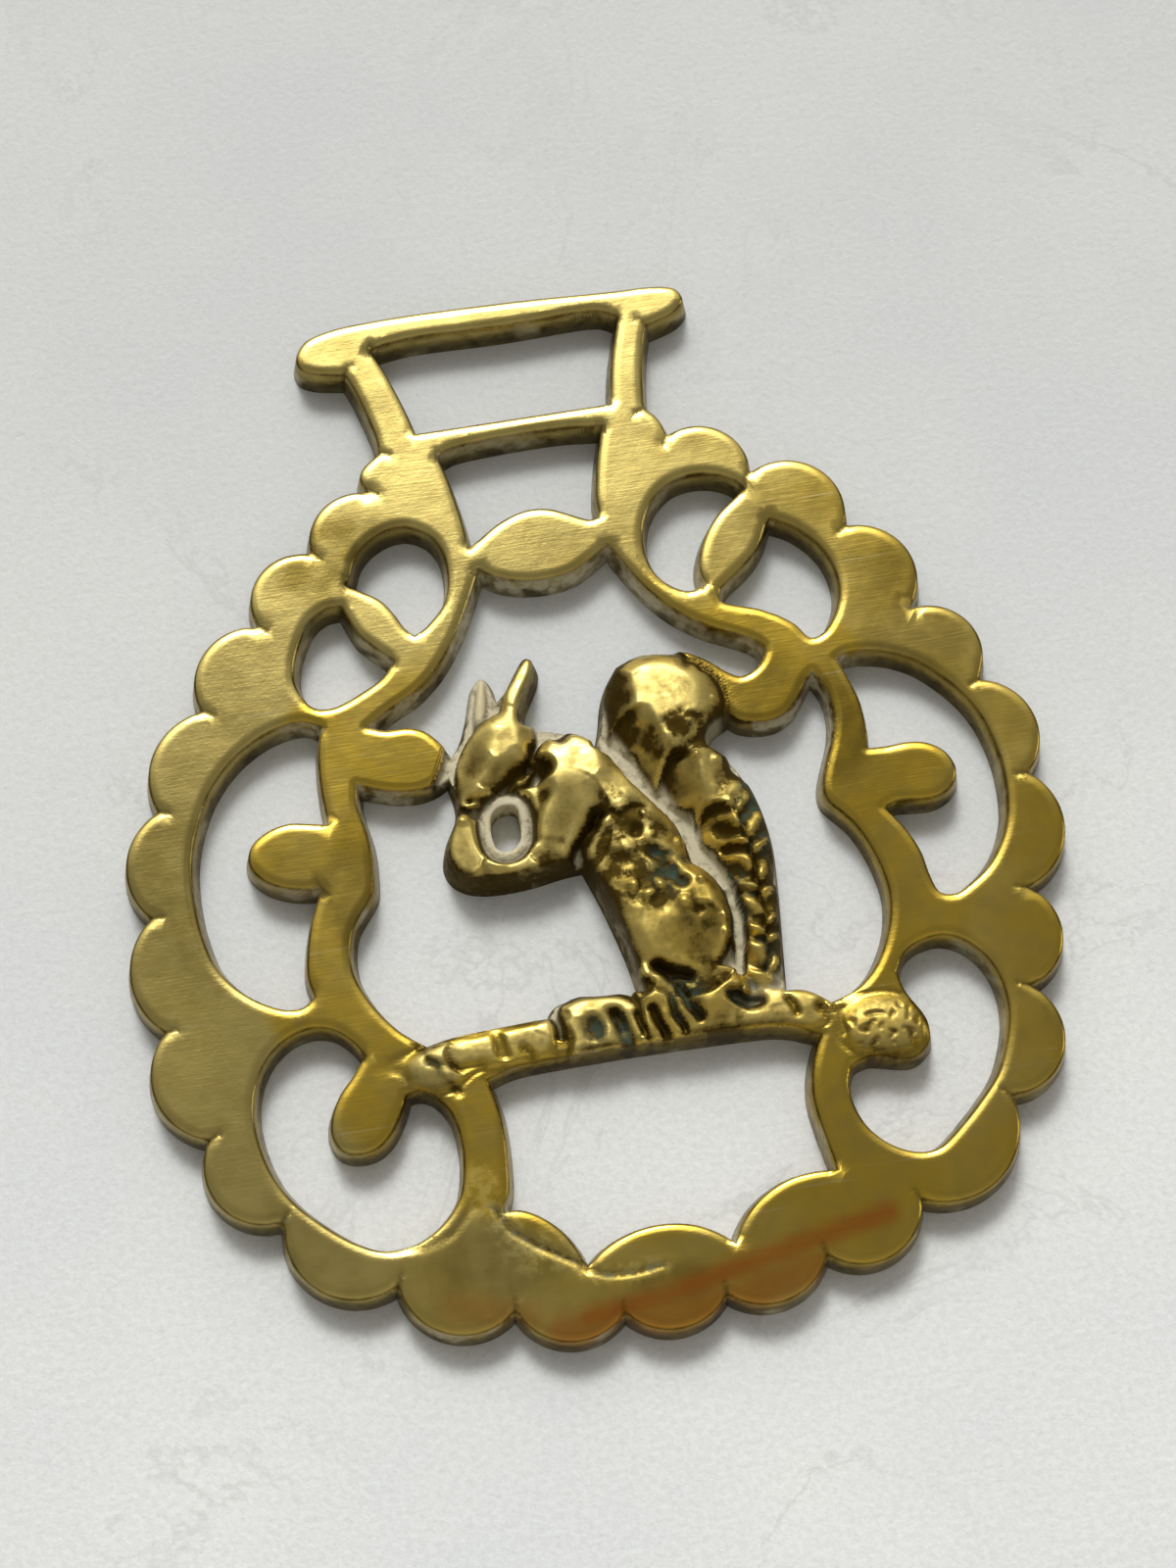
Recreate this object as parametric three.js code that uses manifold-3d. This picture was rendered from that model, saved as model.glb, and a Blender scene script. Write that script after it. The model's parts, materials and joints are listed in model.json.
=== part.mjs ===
// Horse brass: a flat cast-brass harness ornament. A ring with a scalloped rim frames a squirrel
// that sits up on a branch and eats; above it a hanger with two strap slots stands on the ring.
// The whole ornament is one casting, so it is one solid. It lies on its flat back, face up.
//
// Outlines are drawn in millimetres from the ring's centre, +Y towards the hanger, on the level
// where the side walls end and the worn front edge begins. The last step moves the origin to the
// middle of the underside.

import * as THREE from 'three';
import { mergeVertices } from 'three/addons/utils/BufferGeometryUtils.js';
import Module from 'manifold-3d';

const wasm = await Module();
wasm.setup();

// ---- Driving dimensions, in millimetres ----

const plateThickness = 3.0;   // ring, hanger and leaves
const webThickness = 1.7;     // thin web that ties the squirrel's parts together
const draft = 0.4;            // how far the back stands outside the front outline
const edgeBevel = 0.45;       // worn edge round the face
const reliefCeiling = 9.0;    // above the tallest point of the squirrel
const reliefFloor = 1.4;      // where the relief's skirts end, inside the web
const reliefGrid = 1.05;      // spacing of the relief's facets
const meltSharpness = 2.2;    // how crisply the relief's masses meet, per millimetre
const domeShoulder = 2.6;     // the larger, the flatter the top of a mass
const domeRoundness = 0.55;   // the smaller, the steeper its sides
const skirtSlope = 9.0;       // fall of a mass outside its rim, for each half-length
const chordError = 0.05;      // how far a straight facet may cut a curve
const sampleStep = 0.15;      // spacing of a curve's points before they are thinned out
const longestMiter = 2.2;     // how far a sharp corner may run out, as a multiple of the offset
const shortestEdge = 0.15;    // points of an offset outline nearer than this become one
const nearlyParallel = 0.05;  // sine of the angle under which two lines count as parallel
const fullReach = 0.999;      // share of an offset under which a point counts as folded over
const weldDistance = 1e-4;    // vertices nearer than this are one
const hangerFoot = 36.0;      // the hanger's outline counts from this height up
const brassColour = 0x9a8538;

// ---- Outlines ----

const asVector = ([x, y]) => new THREE.Vector2(x, y);

function distanceToSegment(point, start, end) {
  const along = end.clone().sub(start);
  const share = THREE.MathUtils.clamp(point.clone().sub(start).dot(along) / along.lengthSq(), 0, 1);
  return point.distanceTo(start.clone().addScaledVector(along, share));
}

// Keeps only the points that the curve needs to stay within chordError (Douglas-Peucker).
function thinOut(points) {
  const first = points[0];
  const last = points.at(-1);
  let farthest = 0;
  let farthestIndex = 0;
  for (let i = 1; i < points.length - 1; i++) {
    const distance = first.equals(last) ? points[i].distanceTo(first) : distanceToSegment(points[i], first, last);
    if (distance > farthest) {
      farthest = distance;
      farthestIndex = i;
    }
  }
  if (farthest <= chordError) return [first, last];
  return [...thinOut(points.slice(0, farthestIndex + 1)).slice(0, -1), ...thinOut(points.slice(farthestIndex))];
}

// Smooth curve through a few points, thinned out.
function smoothStretch(points) {
  if (points.length === 2) return points.map(asVector);
  const curve = new THREE.CatmullRomCurve3(points.map(([x, y]) => new THREE.Vector3(x, y, 0)), false, 'centripetal');
  const samples = curve.getPoints(Math.ceil(curve.getLength() / sampleStep));
  return thinOut(samples.map(({ x, y }) => new THREE.Vector2(x, y)));
}

// Closed outline from smooth stretches. Each stretch starts on a corner and runs to the first
// point of the next one.
function outline(...stretches) {
  return stretches.flatMap((stretch, i) => {
    const nextCorner = stretches[(i + 1) % stretches.length][0];
    return smoothStretch([...stretch, nextCorner]).slice(0, -1);
  });
}

// Points of a circular arc that bulges to the right of the way from start to end.
function lobeArc(start, end, bulge) {
  const chord = asVector(end).sub(asVector(start));
  const middle = asVector(start).addScaledVector(chord, 0.5);
  const outward = new THREE.Vector2(chord.y, -chord.x);
  const halfAngle = 2 * Math.atan(2 * bulge);
  const radius = chord.length() / 2 / Math.sin(halfAngle);
  const centre = middle.clone().addScaledVector(outward.clone().normalize(), -radius * Math.cos(halfAngle));
  const facing = outward.angle();
  const steps = Math.ceil(2 * halfAngle / (2 * Math.acos(1 - chordError / radius)));
  const arc = new THREE.Path().absarc(centre.x, centre.y, radius, facing - halfAngle, facing + halfAngle, false);
  return arc.getPoints(steps).slice(0, -1);
}

// Valleys of the scalloped rim, counterclockwise from the hanger's left foot to its right foot,
// each with the bulge of the lobe that follows it as a share of the lobe's chord.
const rimValleys = [
  [-13.1, 35.8, 0.29], [-18.8, 31.2, 0.34], [-24.0, 25.7, 0.30], [-29.6, 19.2, 0.25],
  [-34.2, 11.3, 0.26], [-35.9, 2.6, 0.24], [-36.0, -6.8, 0.29], [-33.8, -15.9, 0.33],
  [-28.9, -23.2, 0.33], [-21.0, -29.6, 0.31], [-12.4, -33.0, 0.28], [-4.1, -34.6, 0.25],
  [3.9, -34.5, 0.26], [12.1, -32.8, 0.31], [20.2, -29.8, 0.32], [28.9, -22.9, 0.39],
  [32.1, -14.5, 0.35], [33.5, -6.5, 0.32], [35.7, 2.9, 0.32], [33.2, 11.4, 0.37],
  [28.9, 18.3, 0.35], [25.1, 26.4, 0.37], [18.3, 32.4, 0.32], [12.0, 36.8],
];

const rim = rimValleys.slice(0, -1).flatMap(([x, y, bulge], i) => {
  const [nextX, nextY] = rimValleys[i + 1];
  return lobeArc([x, y], [nextX, nextY], bulge);
});

// Hanger, from the rim's last valley on the right round to its first on the left.
const hangerStretches = [
  [[12.0, 36.8], [11.9, 37.7], [11.4, 38.8]],
  [[10.7, 39.6], [10.8, 41.2], [11.2, 43.8], [11.7, 45.8]],
  [[12.1, 47.1], [13.6, 47.5], [14.9, 48.1], [15.6, 49.0], [15.2, 50.0], [13.9, 50.5], [10, 50.7], [5, 51.0],
    [0, 51.2], [-6, 51.35], [-11, 51.3], [-14.6, 51.0], [-16.6, 50.3], [-17.5, 49.0], [-17.3, 47.9],
    [-16.2, 47.3], [-15, 47.0]],
  [[-13.7, 46.8], [-13.1, 45.2], [-12.5, 42.9], [-12.0, 40.8]],
  [[-11.9, 39.3], [-12.9, 38.6], [-13.7, 37.8], [-13.8, 36.8]],
  [[-13.1, 35.8]],
];
const hanger = outline(...hangerStretches).filter((point) => point.y > hangerFoot);
const castingOutline = [...rim, ...hanger];

const upperSlot = outline(
  [[-8.7, 40.5], [-9.0, 42], [-9.5, 43.8], [-10.2, 46], [-10.9, 47.8]],
  [[-11.4, 48.8], [-8, 49.25], [0, 49.1], [8.6, 49.05]],
  [[9.9, 48.3], [9.3, 46.4], [8.6, 44], [8.2, 42]],
  [[7.9, 40.5]],
);

const lowerSlot = outline(
  [[-7.2, 38.2], [-6, 38.7], [-3.5, 38.95], [0, 39.05], [4, 39.0]],
  [[6.9, 38.7], [6.2, 36.5], [5.7, 34.5], [5.3, 32.5]],
  [[5.2, 30.6], [4.4, 30.5], [3.3, 31.0], [1.8, 31.8], [0.1, 32.2], [-1.6, 32.0], [-3.5, 31.2], [-5, 30.2]],
  [[-5.9, 29.7], [-6.05, 32], [-6.4, 34.5], [-6.8, 36.6]],
);

const leftUpperHole = outline(
  [[-16.5, 28.2], [-15.9, 29], [-15.4, 30.2], [-14.3, 31.4], [-12.8, 32.2], [-11.2, 32.45], [-9.8, 32],
    [-8.7, 31], [-8.1, 29.6], [-8.0, 28], [-8.2, 26.4], [-8.8, 25], [-9.8, 24], [-10.7, 23.2]],
  [[-11.5, 22.8], [-12.1, 23.4], [-12.9, 25], [-13.9, 26.4], [-15.1, 27.2]],
);

const leftLowerHole = outline(
  [[-17.1, 26.4], [-18.4, 26.3], [-19.8, 25.5], [-20.8, 24], [-21.5, 22.4], [-21.8, 20.7], [-21.5, 19.3],
    [-20.7, 18.1], [-19.6, 17.7], [-18, 18.0], [-16.2, 18.8], [-14.7, 19.6]],
  [[-13.5, 20.9], [-14.6, 22.1], [-15.9, 23.4], [-16.6, 25]],
);

const rightUpperHole = outline(
  [[17.7, 31.2], [16.6, 32.2], [15, 32.9], [13.2, 33.05], [11.4, 32.6], [9.9, 31.4], [8.9, 29.8],
    [8.45, 28], [8.5, 26.2], [9.1, 24.6], [10.3, 23.4], [11.6, 22.9]],
  [[12.8, 23.3], [12.6, 24.6], [13, 26.2], [13.9, 27.9], [15.1, 29.3], [16.4, 30.2]],
);

const rightLowerHole = outline(
  [[19.1, 28.2], [20.6, 27.4], [22.1, 26], [23.2, 24.2], [23.65, 22.2], [23.5, 20.3], [22.6, 18.5], [21.5, 17.4]],
  [[20.5, 17.2], [19.4, 18.7], [17.8, 19.9], [15.9, 20.8]],
  [[13.8, 21.6], [13.9, 22.5], [15.4, 23.7], [17, 25], [18.1, 26.4], [18.7, 27.6]],
);

const leftCrescent = outline(
  [[-20.2, 16.2], [-21.5, 16.9], [-23.5, 16.8], [-25.7, 16], [-27.8, 14.6], [-29.8, 12.4], [-31.2, 9.8],
    [-32.1, 6.8], [-32.35, 3.6], [-32.1, 0.5], [-31.4, -2.2], [-30, -4.2], [-28.2, -5.7], [-26.3, -6.6], [-25, -6.6]],
  [[-24.0, -5.9], [-24.3, -4.2], [-23.9, -1.6], [-23.2, 0.6]],
  [[-22.2, 2.8], [-24, 3.0], [-25.7, 3.6], [-26.9, 4.5], [-27.6, 5.8], [-27.2, 7.2], [-25.8, 8.2], [-24, 8.6],
    [-22.4, 8.3]],
  [[-20.9, 8], [-21, 10.5], [-20.9, 13], [-20.6, 15]],
);

const rightCrescent = outline(
  [[22.3, 15.1], [22.9, 15.4], [24.5, 15.4], [26.6, 14.9], [28.7, 13.8], [30.6, 12.0], [32.2, 9.8], [33.2, 7.4],
    [33.7, 4.6], [33.7, 2], [33.3, -0.4], [32.4, -2.4], [31.0, -4.2], [29.3, -5.4], [27.8, -6.1]],
  [[26.6, -5.8], [26.1, -4.2], [25.8, -2.2], [25, -0.2]],
  [[23.6, 2.0], [24.6, 2.3], [26.4, 2.1], [28.2, 2.2], [29.4, 2.9], [30, 4.2], [29.4, 5.8], [28, 6.8],
    [26.2, 7.1], [24.6, 7.0]],
  [[23.3, 7.1], [23.5, 9], [23.4, 11.2], [22.9, 13.2]],
);

const lowerLeftHole = outline(
  [[-20.8, -11.3], [-21.6, -10], [-23, -8.8], [-24.6, -8.4], [-26.5, -8.8], [-28.3, -10.1], [-29.5, -12],
    [-30.1, -14.4], [-30, -16.8], [-29.3, -19.6], [-28, -21.9], [-26, -24], [-23.8, -25.8], [-21.6, -26.8],
    [-19.2, -26.7], [-17, -25.6], [-15.3, -23.8], [-14.6, -21.6], [-14.4, -19.2], [-14.8, -17],
    [-16, -15.3], [-17.2, -14.8]],
  [[-18.1, -14.9], [-18.8, -16.4], [-19.8, -17.9], [-21, -18.8], [-22.4, -19.0], [-23.7, -18.5],
    [-24.3, -17.2], [-24.1, -15.8], [-23.2, -14.1], [-22, -12.8]],
);

const lowerRightHole = outline(
  [[21.9, -11.6], [22.8, -10.2], [24.4, -9.4], [26.2, -9.3], [27.9, -10.1], [29.3, -11.8], [30, -13.9],
    [30.0, -16.4], [29.3, -18.8], [28.1, -21.1], [26.4, -22.9], [24.4, -24.7], [22.3, -26.1], [20.6, -26.1],
    [18.6, -25.1], [17.1, -23.4], [16.4, -21.3], [16.4, -19.6]],
  [[16.9, -18.5], [18.4, -18.0], [20.2, -18.4], [22, -18.6], [23.3, -17.6], [23.5, -16.0], [22.9, -14.5],
    [22.2, -13.2]],
);

const bottomOpening = outline(
  [[-11.6, -14.8], [-9.5, -14.2], [-5, -14.1], [0, -14.0], [6, -14.2], [12, -14.5]],
  [[15.0, -15.6], [14.3, -17.0], [13.7, -18.6], [13.4, -20.5], [13.6, -22.8], [13.9, -24.8]],
  [[14.2, -26.4], [12.4, -26.3], [10.4, -26.5], [8.6, -27.2], [7, -28.3], [5.9, -29.6]],
  [[5.3, -30.7], [4.2, -29.8], [2.6, -28.9], [0.6, -28.4], [-1.6, -28.4], [-3.6, -28.9], [-5.2, -29.7]],
  [[-6.4, -30.7], [-7, -29], [-8, -27.4], [-9.4, -26.1], [-10.8, -25.4]],
  [[-12.1, -25.3], [-11.4, -23.6], [-11.1, -21], [-11, -18.5], [-11.2, -16.8]],
);

// The opening above the squirrel, from the left leaf under the ring to the tail, then along the
// tail, the back and the ears.
const upperOpening = outline(
  [[-16.6, 15.6], [-14.6, 16.8], [-12.4, 17.9], [-10.4, 19.5], [-8.7, 21.6], [-7.3, 23.9], [-6.2, 26.1]],
  [[-5.4, 27.7], [-4, 26.7], [-2.2, 26.1], [0, 25.9], [2.2, 26.2], [3.9, 27.1]],
  [[5.5, 28.1], [6.6, 26], [8, 23.7], [9.9, 21.5], [12, 19.9], [14.3, 18.7], [15.9, 17.8], [16.6, 17.0],
    [16.3, 16.1], [15.3, 15.2], [14.2, 14.9]],
  [[13.0, 15.6], [11.8, 16.7], [10.3, 17.6], [8.2, 18.25], [5.9, 18.3], [4.4, 17.4], [3.3, 15.8], [2.7, 14.2],
    [2.4, 12.9]],
  [[1.7, 10.9], [0.6, 11.8], [-0.8, 12.7], [-2.4, 13.2]],
  [[-4.1, 13.6], [-4.1, 15.0], [-3.3, 16.5], [-2.5, 18.0], [-2.4, 19.1], [-3.0, 19.3], [-4.2, 17.8], [-5.4, 16.4]],
  [[-6.2, 16.4], [-6.2, 17.6], [-6.7, 18.6], [-7.3, 18.1], [-7.9, 16.4], [-8.5, 14.7], [-9.2, 13.3]],
  [[-10.2, 12.1], [-10.9, 13.3], [-12, 14.5], [-13.4, 15.05], [-15, 15.1]],
);

// The opening between the left scroll and the squirrel's face, arm and belly.
const leftOpening = outline(
  [[-18.1, 10.9], [-16.6, 10.3], [-14.8, 9.8], [-13, 9.7], [-11.6, 10.1]],
  [[-10.6, 10.7], [-10.4, 9.4], [-10.2, 8.2]],
  [[-10.3, 7.3], [-11.1, 5.9], [-11.7, 4.5], [-11.9, 3.2], [-11.5, 2.2], [-10.6, 1.5], [-9.2, 1.1], [-7, 1.0],
    [-4.6, 1.2], [-2.7, 1.5]],
  [[-1.0, 1.6], [0.0, -1.4], [0.7, -4.0], [1.3, -6.5], [1.6, -8.3]],
  [[1.8, -9.8], [0, -9.7], [-2, -9.6], [-4, -9.4], [-5.3, -9.8]],
  [[-5.9, -10.7], [-8.5, -10.8], [-12, -10.9], [-14.4, -11.1]],
  [[-15.9, -11.4], [-17.2, -10.4], [-18.5, -9.0], [-19.7, -7.2], [-20.6, -5.0], [-20.7, -3.0], [-20.2, -1.0],
    [-19.2, 0.4], [-18.2, 1.8], [-17.9, 3.6], [-17.8, 5.4], [-18.0, 7.4], [-18.3, 9.2]],
);

// The opening between the tail and the right scroll.
const rightOpening = outline(
  [[20.1, 14.3], [20.9, 12.6], [21.1, 10.8], [20.8, 9], [20, 6.9], [19.2, 5], [19.1, 3.7], [19.8, 2.6],
    [20.9, 1.2], [21.8, -0.8], [22.4, -3], [22.6, -5.2], [22.2, -7.4], [21.3, -9.5], [20, -11.3], [18.6, -12.4],
    [17.4, -12.9]],
  [[16.3, -13.2], [15.2, -12.3], [14.2, -11.8]],
  [[12.8, -11.6], [13.1, -9], [13.4, -6.5], [13.7, -3.5], [13.9, -1], [14.0, 1.2], [13.7, 3.6], [13.0, 6],
    [12.2, 7.8], [11.4, 8.6], [10.6, 9.1], [10.4, 10], [10.9, 10.9], [11.9, 11.5]],
  [[12.7, 11.9], [13.5, 11.2], [14.8, 10.8], [16.3, 10.8], [17.6, 11.4], [18.6, 12.5], [19.5, 13.8]],
);

// The small hole between the face and the forearm.
const faceHole = outline(
  [[-8.0, 5.2], [-7.9, 7.1], [-7.2, 8.1], [-6.2, 7.9], [-5.6, 6.8], [-5.6, 5.3], [-6.4, 4.6], [-7.3, 4.5]],
);

const openings = [
  upperSlot, lowerSlot, leftUpperHole, leftLowerHole, rightUpperHole, rightLowerHole, leftCrescent, rightCrescent,
  lowerLeftHole, lowerRightHole, bottomOpening, upperOpening, leftOpening, rightOpening, faceHole,
];

// ---- Solids ----

// A closed geometry as a manifold solid.
function solidFrom(geometry) {
  const plain = new THREE.BufferGeometry();
  plain.setAttribute('position', geometry.getAttribute('position'));
  plain.setIndex(geometry.getIndex());
  const merged = mergeVertices(plain, weldDistance);
  const corners = merged.getIndex().array;
  const triangles = [];
  for (let i = 0; i < corners.length; i += 3) {
    const [a, b, c] = corners.subarray(i, i + 3);
    if (a !== b && b !== c && c !== a) triangles.push(a, b, c);
  }
  return new wasm.Manifold(new wasm.Mesh({
    numProp: 3,
    vertProperties: new Float32Array(merged.getAttribute('position').array),
    triVerts: new Uint32Array(triangles),
  }));
}

// Where the line from start along its way meets the line through end along its own.
function crossing(start, way, end, endWay) {
  const turn = way.cross(endWay);
  if (Math.abs(turn) < nearlyParallel * way.length() * endWay.length()) return start.clone().lerp(end, 0.5);
  return start.clone().addScaledVector(way, end.clone().sub(start).cross(endWay) / turn);
}

// An outline moved away from the material by distance, or into it where distance is negative.
// Outside a bend its points keep their distance, inside one they follow the bisector, and where
// a tight corner would fold over they meet in the point where its two sides cross.
function offsetOutline(loop, distance) {
  if (distance === 0) return loop;
  const count = loop.length;
  const wayFrom = (i) => loop[(i + 1) % count].clone().sub(loop.at(i % count));
  const moved = loop.map((point, i) => {
    const before = wayFrom(i - 1).normalize();
    const after = wayFrom(i).normalize();
    const sideways = new THREE.Vector2(before.y + after.y, -before.x - after.x).normalize();
    const insideBend = before.cross(after) * distance < 0;
    const halfTurnCosine = Math.max(sideways.x * after.y - sideways.y * after.x, 1 / longestMiter);
    return point.clone().addScaledVector(sideways, insideBend ? distance / halfTurnCosine : distance);
  });
  const reach = (point) => Math.min(...loop.map((corner, i) => distanceToSegment(point, corner, loop[(i + 1) % count])));
  const good = moved.map((point) => reach(point) > fullReach * Math.abs(distance));
  const unfolded = moved.map((point, i) => {
    if (good[i]) return point;
    let back = 1;
    let forward = 1;
    while (!good.at(i - back) && back < count) back++;
    while (!good[(i + forward) % count] && forward < count) forward++;
    const [last, next] = [i - back, i + forward];
    return crossing(moved.at(last), wayFrom(last), moved[next % count], wayFrom(next - 1));
  });
  unfolded.forEach((point, i) => {
    const next = unfolded[(i + 1) % count];
    if (point.distanceTo(next) < shortestEdge) next.copy(point);
  });
  return unfolded;
}

// A plate with openings, built from levels of [height, offset] from the underside up.
function plate(outer, holes, levels) {
  const loops = [outer, ...holes].map((loop, i) => {
    const wrongWay = THREE.ShapeUtils.isClockWise(loop) !== (i > 0);
    return wrongWay ? [...loop].reverse() : loop;
  });
  const positions = [];
  const place = (point, z) => positions.push(point.x, point.y, z);
  const rings = levels.map(([z, offset]) => ({ z, loops: loops.map((loop) => offsetOutline(loop, offset)) }));
  for (let level = 0; level < rings.length - 1; level++) {
    const [low, high] = [rings[level], rings[level + 1]];
    low.loops.forEach((loop, which) => loop.forEach((point, i) => {
      const next = (i + 1) % loop.length;
      const [lowNext, highHere, highNext] = [loop[next], high.loops[which][i], high.loops[which][next]];
      place(point, low.z);
      place(lowNext, low.z);
      place(highNext, high.z);
      place(point, low.z);
      place(highNext, high.z);
      place(highHere, high.z);
    }));
  }
  for (const [ring, facingUp] of [[rings[0], false], [rings.at(-1), true]]) {
    const [contour, ...gaps] = ring.loops.map((loop) => loop.filter((point, i) => !point.equals(loop.at(i - 1))));
    const points = [contour, ...gaps].flat();
    for (const [a, b, c] of THREE.ShapeUtils.triangulateShape(contour, gaps)) {
      const [first, last] = facingUp ? [a, c] : [c, a];
      place(points[first], ring.z);
      place(points[b], ring.z);
      place(points[last], ring.z);
    }
  }
  const geometry = new THREE.BufferGeometry();
  geometry.setAttribute('position', new THREE.Float32BufferAttribute(positions, 3));
  geometry.setIndex([...Array(positions.length / 3).keys()]);
  return solidFrom(geometry);
}

// ---- Relief: the squirrel and its branch ----

// Rounded masses, each with its centre [x, y], its half-lengths [along, across], the turn of the
// long side in degrees, and how high it stands above the underside.
const head = [
  { at: [-6.7, 11.2], half: [4.7, 2.9], turn: 52, height: 5.2 },    // skull and cheek
  { at: [-9.0, 8.9], half: [1.9, 1.3], turn: 55, height: 4.3 },     // snout
  { at: [-3.9, 16.4], half: [3.5, 1.1], turn: 62, height: 4.6 },    // near ear
  { at: [-7.3, 15.6], half: [3.4, 0.7], turn: 78, height: 2.7 },    // far ear
];
const body = [
  { at: [-0.7, 9.0], half: [3.7, 3.5], turn: -35, height: 5.7 },    // shoulder
  { at: [2.5, 3.6], half: [8.2, 3.9], turn: -64, height: 5.4 },     // back
  { at: [1.6, 0.0], half: [6.0, 2.9], turn: -72, height: 4.9 },     // belly
  { at: [5.6, -4.6], half: [4.3, 5.2], turn: 0, height: 6.0 },      // haunch
];
const arm = [
  { at: [-2.0, 5.4], half: [4.4, 2.0], turn: 62, height: 5.3 },     // upper arm
  { at: [-6.0, 2.3], half: [4.9, 1.6], turn: 0, height: 4.5 },      // forearm
  { at: [-10.1, 4.0], half: [2.1, 3.5], turn: 12, height: 4.8 },    // paws round a nut
];
const feet = [
  { at: [2.5, -10.2], half: [1.7, 3.2], turn: 10, height: 4.6 },
  { at: [6.6, -10.9], half: [3.8, 2.5], turn: 4, height: 5.0 },
];
const tail = [
  { at: [11.6, -5.0], half: [7.0, 2.3], turn: 86, height: 4.4 },
  { at: [11.3, 2.4], half: [5.4, 3.0], turn: 101, height: 5.0 },
  { at: [8.2, 8.6], half: [5.2, 3.4], turn: 118, height: 5.3 },
  { at: [7.3, 13.4], half: [5.5, 4.6], turn: -14, height: 5.9 },    // curl
];
const branch = [
  { at: [-1.0, -12.7], half: [20.0, 2.2], turn: -0.5, height: 3.9 },
  { at: [-2.3, -12.2], half: [4.6, 3.1], turn: 0, height: 4.3 },    // thick knot under the belly
  { at: [-15.0, -13.3], half: [3.6, 2.4], turn: 22, height: 3.6 },  // fork at the left end
  { at: [12.6, -13.5], half: [4.4, 2.3], turn: 0, height: 4.0 },
  { at: [20.0, -15.8], half: [4.4, 3.2], turn: -8, height: 3.7 },   // leaf at the right end
];
const masses = [...head, ...body, ...arm, ...feet, ...tail, ...branch];

// Height of one mass over a point: a flattened dome that stands on the web, and a steep skirt
// round it.
function domeHeight({ at, half, turn, height }, x, y) {
  const angle = THREE.MathUtils.degToRad(turn);
  const [east, north] = [x - at[0], y - at[1]];
  const along = (east * Math.cos(angle) + north * Math.sin(angle)) / half[0];
  const across = (north * Math.cos(angle) - east * Math.sin(angle)) / half[1];
  const reach = Math.hypot(along, across);
  if (reach > 1) return webThickness - skirtSlope * (reach - 1);
  return webThickness + (height - webThickness) * (1 - reach ** domeShoulder) ** domeRoundness;
}

// Height of the whole relief: the masses melt together where they meet.
function reliefHeight(x, y) {
  const sum = masses.reduce((total, mass) => total + Math.exp(meltSharpness * domeHeight(mass, x, y)), 0);
  return Math.max(Math.log(sum) / meltSharpness, reliefFloor);
}

// A block over the squirrel and the branch with the relief as its top.
function reliefBlock() {
  const [west, east, south, north] = [-18.5, 24.5, -19.5, 20];
  const [width, depth] = [east - west, north - south];
  const belowUnderside = -1;
  const geometry = new THREE.BoxGeometry(
    width, depth, 2, Math.round(width / reliefGrid), Math.round(depth / reliefGrid), 1);
  geometry.translate((west + east) / 2, (south + north) / 2, 0);
  const position = geometry.getAttribute('position');
  for (let i = 0; i < position.count; i++) {
    if (position.getZ(i) > 0) position.setZ(i, reliefHeight(position.getX(i), position.getY(i)));
    else position.setZ(i, belowUnderside);
  }
  return solidFrom(geometry);
}

// Where the plate is cut down to the web, round the squirrel and its branch.
const squirrelGround = outline(
  [[-10.5, 13.2], [-10.3, 19.6], [-4, 19.8], [2, 19.4], [8, 19.4], [11.6, 17.6], [12.6, 14.6], [12.2, 11.2],
    [13.6, 9.5], [15.6, 3], [15.2, -5], [14.2, -11.2], [12.6, -12.6], [6, -12.9], [0, -12.7], [-5, -12.6],
    [-7.2, -11.5], [-3.6, -6], [-4, -1.2], [-12, -1], [-14, 3], [-12.6, 8.6]],
);

function casting() {
  const flatPart = plate(castingOutline, openings, [
    [0, draft], [plateThickness - edgeBevel, 0], [plateThickness, -edgeBevel],
  ]);
  const pocket = plate(squirrelGround, [], [[webThickness, 0], [reliefCeiling, 0]]);
  const silhouette = plate(castingOutline, openings, [
    [0, draft], [plateThickness - edgeBevel, 0], [reliefCeiling, -draft],
  ]);
  const relief = reliefBlock().intersect(silhouette);
  return flatPart.subtract(pocket).add(relief);
}

function geometryOf(solid) {
  const { vertProperties, triVerts } = solid.getMesh();
  const geometry = new THREE.BufferGeometry();
  geometry.setAttribute('position', new THREE.BufferAttribute(vertProperties, 3));
  geometry.setIndex(new THREE.BufferAttribute(triVerts, 1));
  geometry.computeVertexNormals();
  return geometry;
}

// ---- The part ----

const brass = new THREE.MeshStandardMaterial({ color: brassColour, roughness: 0.3, metalness: 1 });

const castingMesh = new THREE.Mesh(geometryOf(casting()), brass);
castingMesh.name = 'brass_casting';

const box = new THREE.Box3().setFromObject(castingMesh);
const underside = box.getCenter(new THREE.Vector3()).setZ(box.min.z);
castingMesh.position.copy(underside).negate();

const horseBrass = new THREE.Group();
horseBrass.name = 'horse_brass';
horseBrass.add(castingMesh);

export default horseBrass;
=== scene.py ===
"""Looks of the horse brass: a fine mesh of the one casting, its worn brass, and a pale table.

The drawing's lengths are millimetres from the ring's centre, with z up from the table. They turn
into Blender's metres where the mesh is made.
"""

import json
import math

import bpy
import numpy as np
from mathutils import Euler, Matrix, Vector, noise
from mathutils.geometry import delaunay_2d_cdt
from mathutils.kdtree import KDTree


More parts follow.
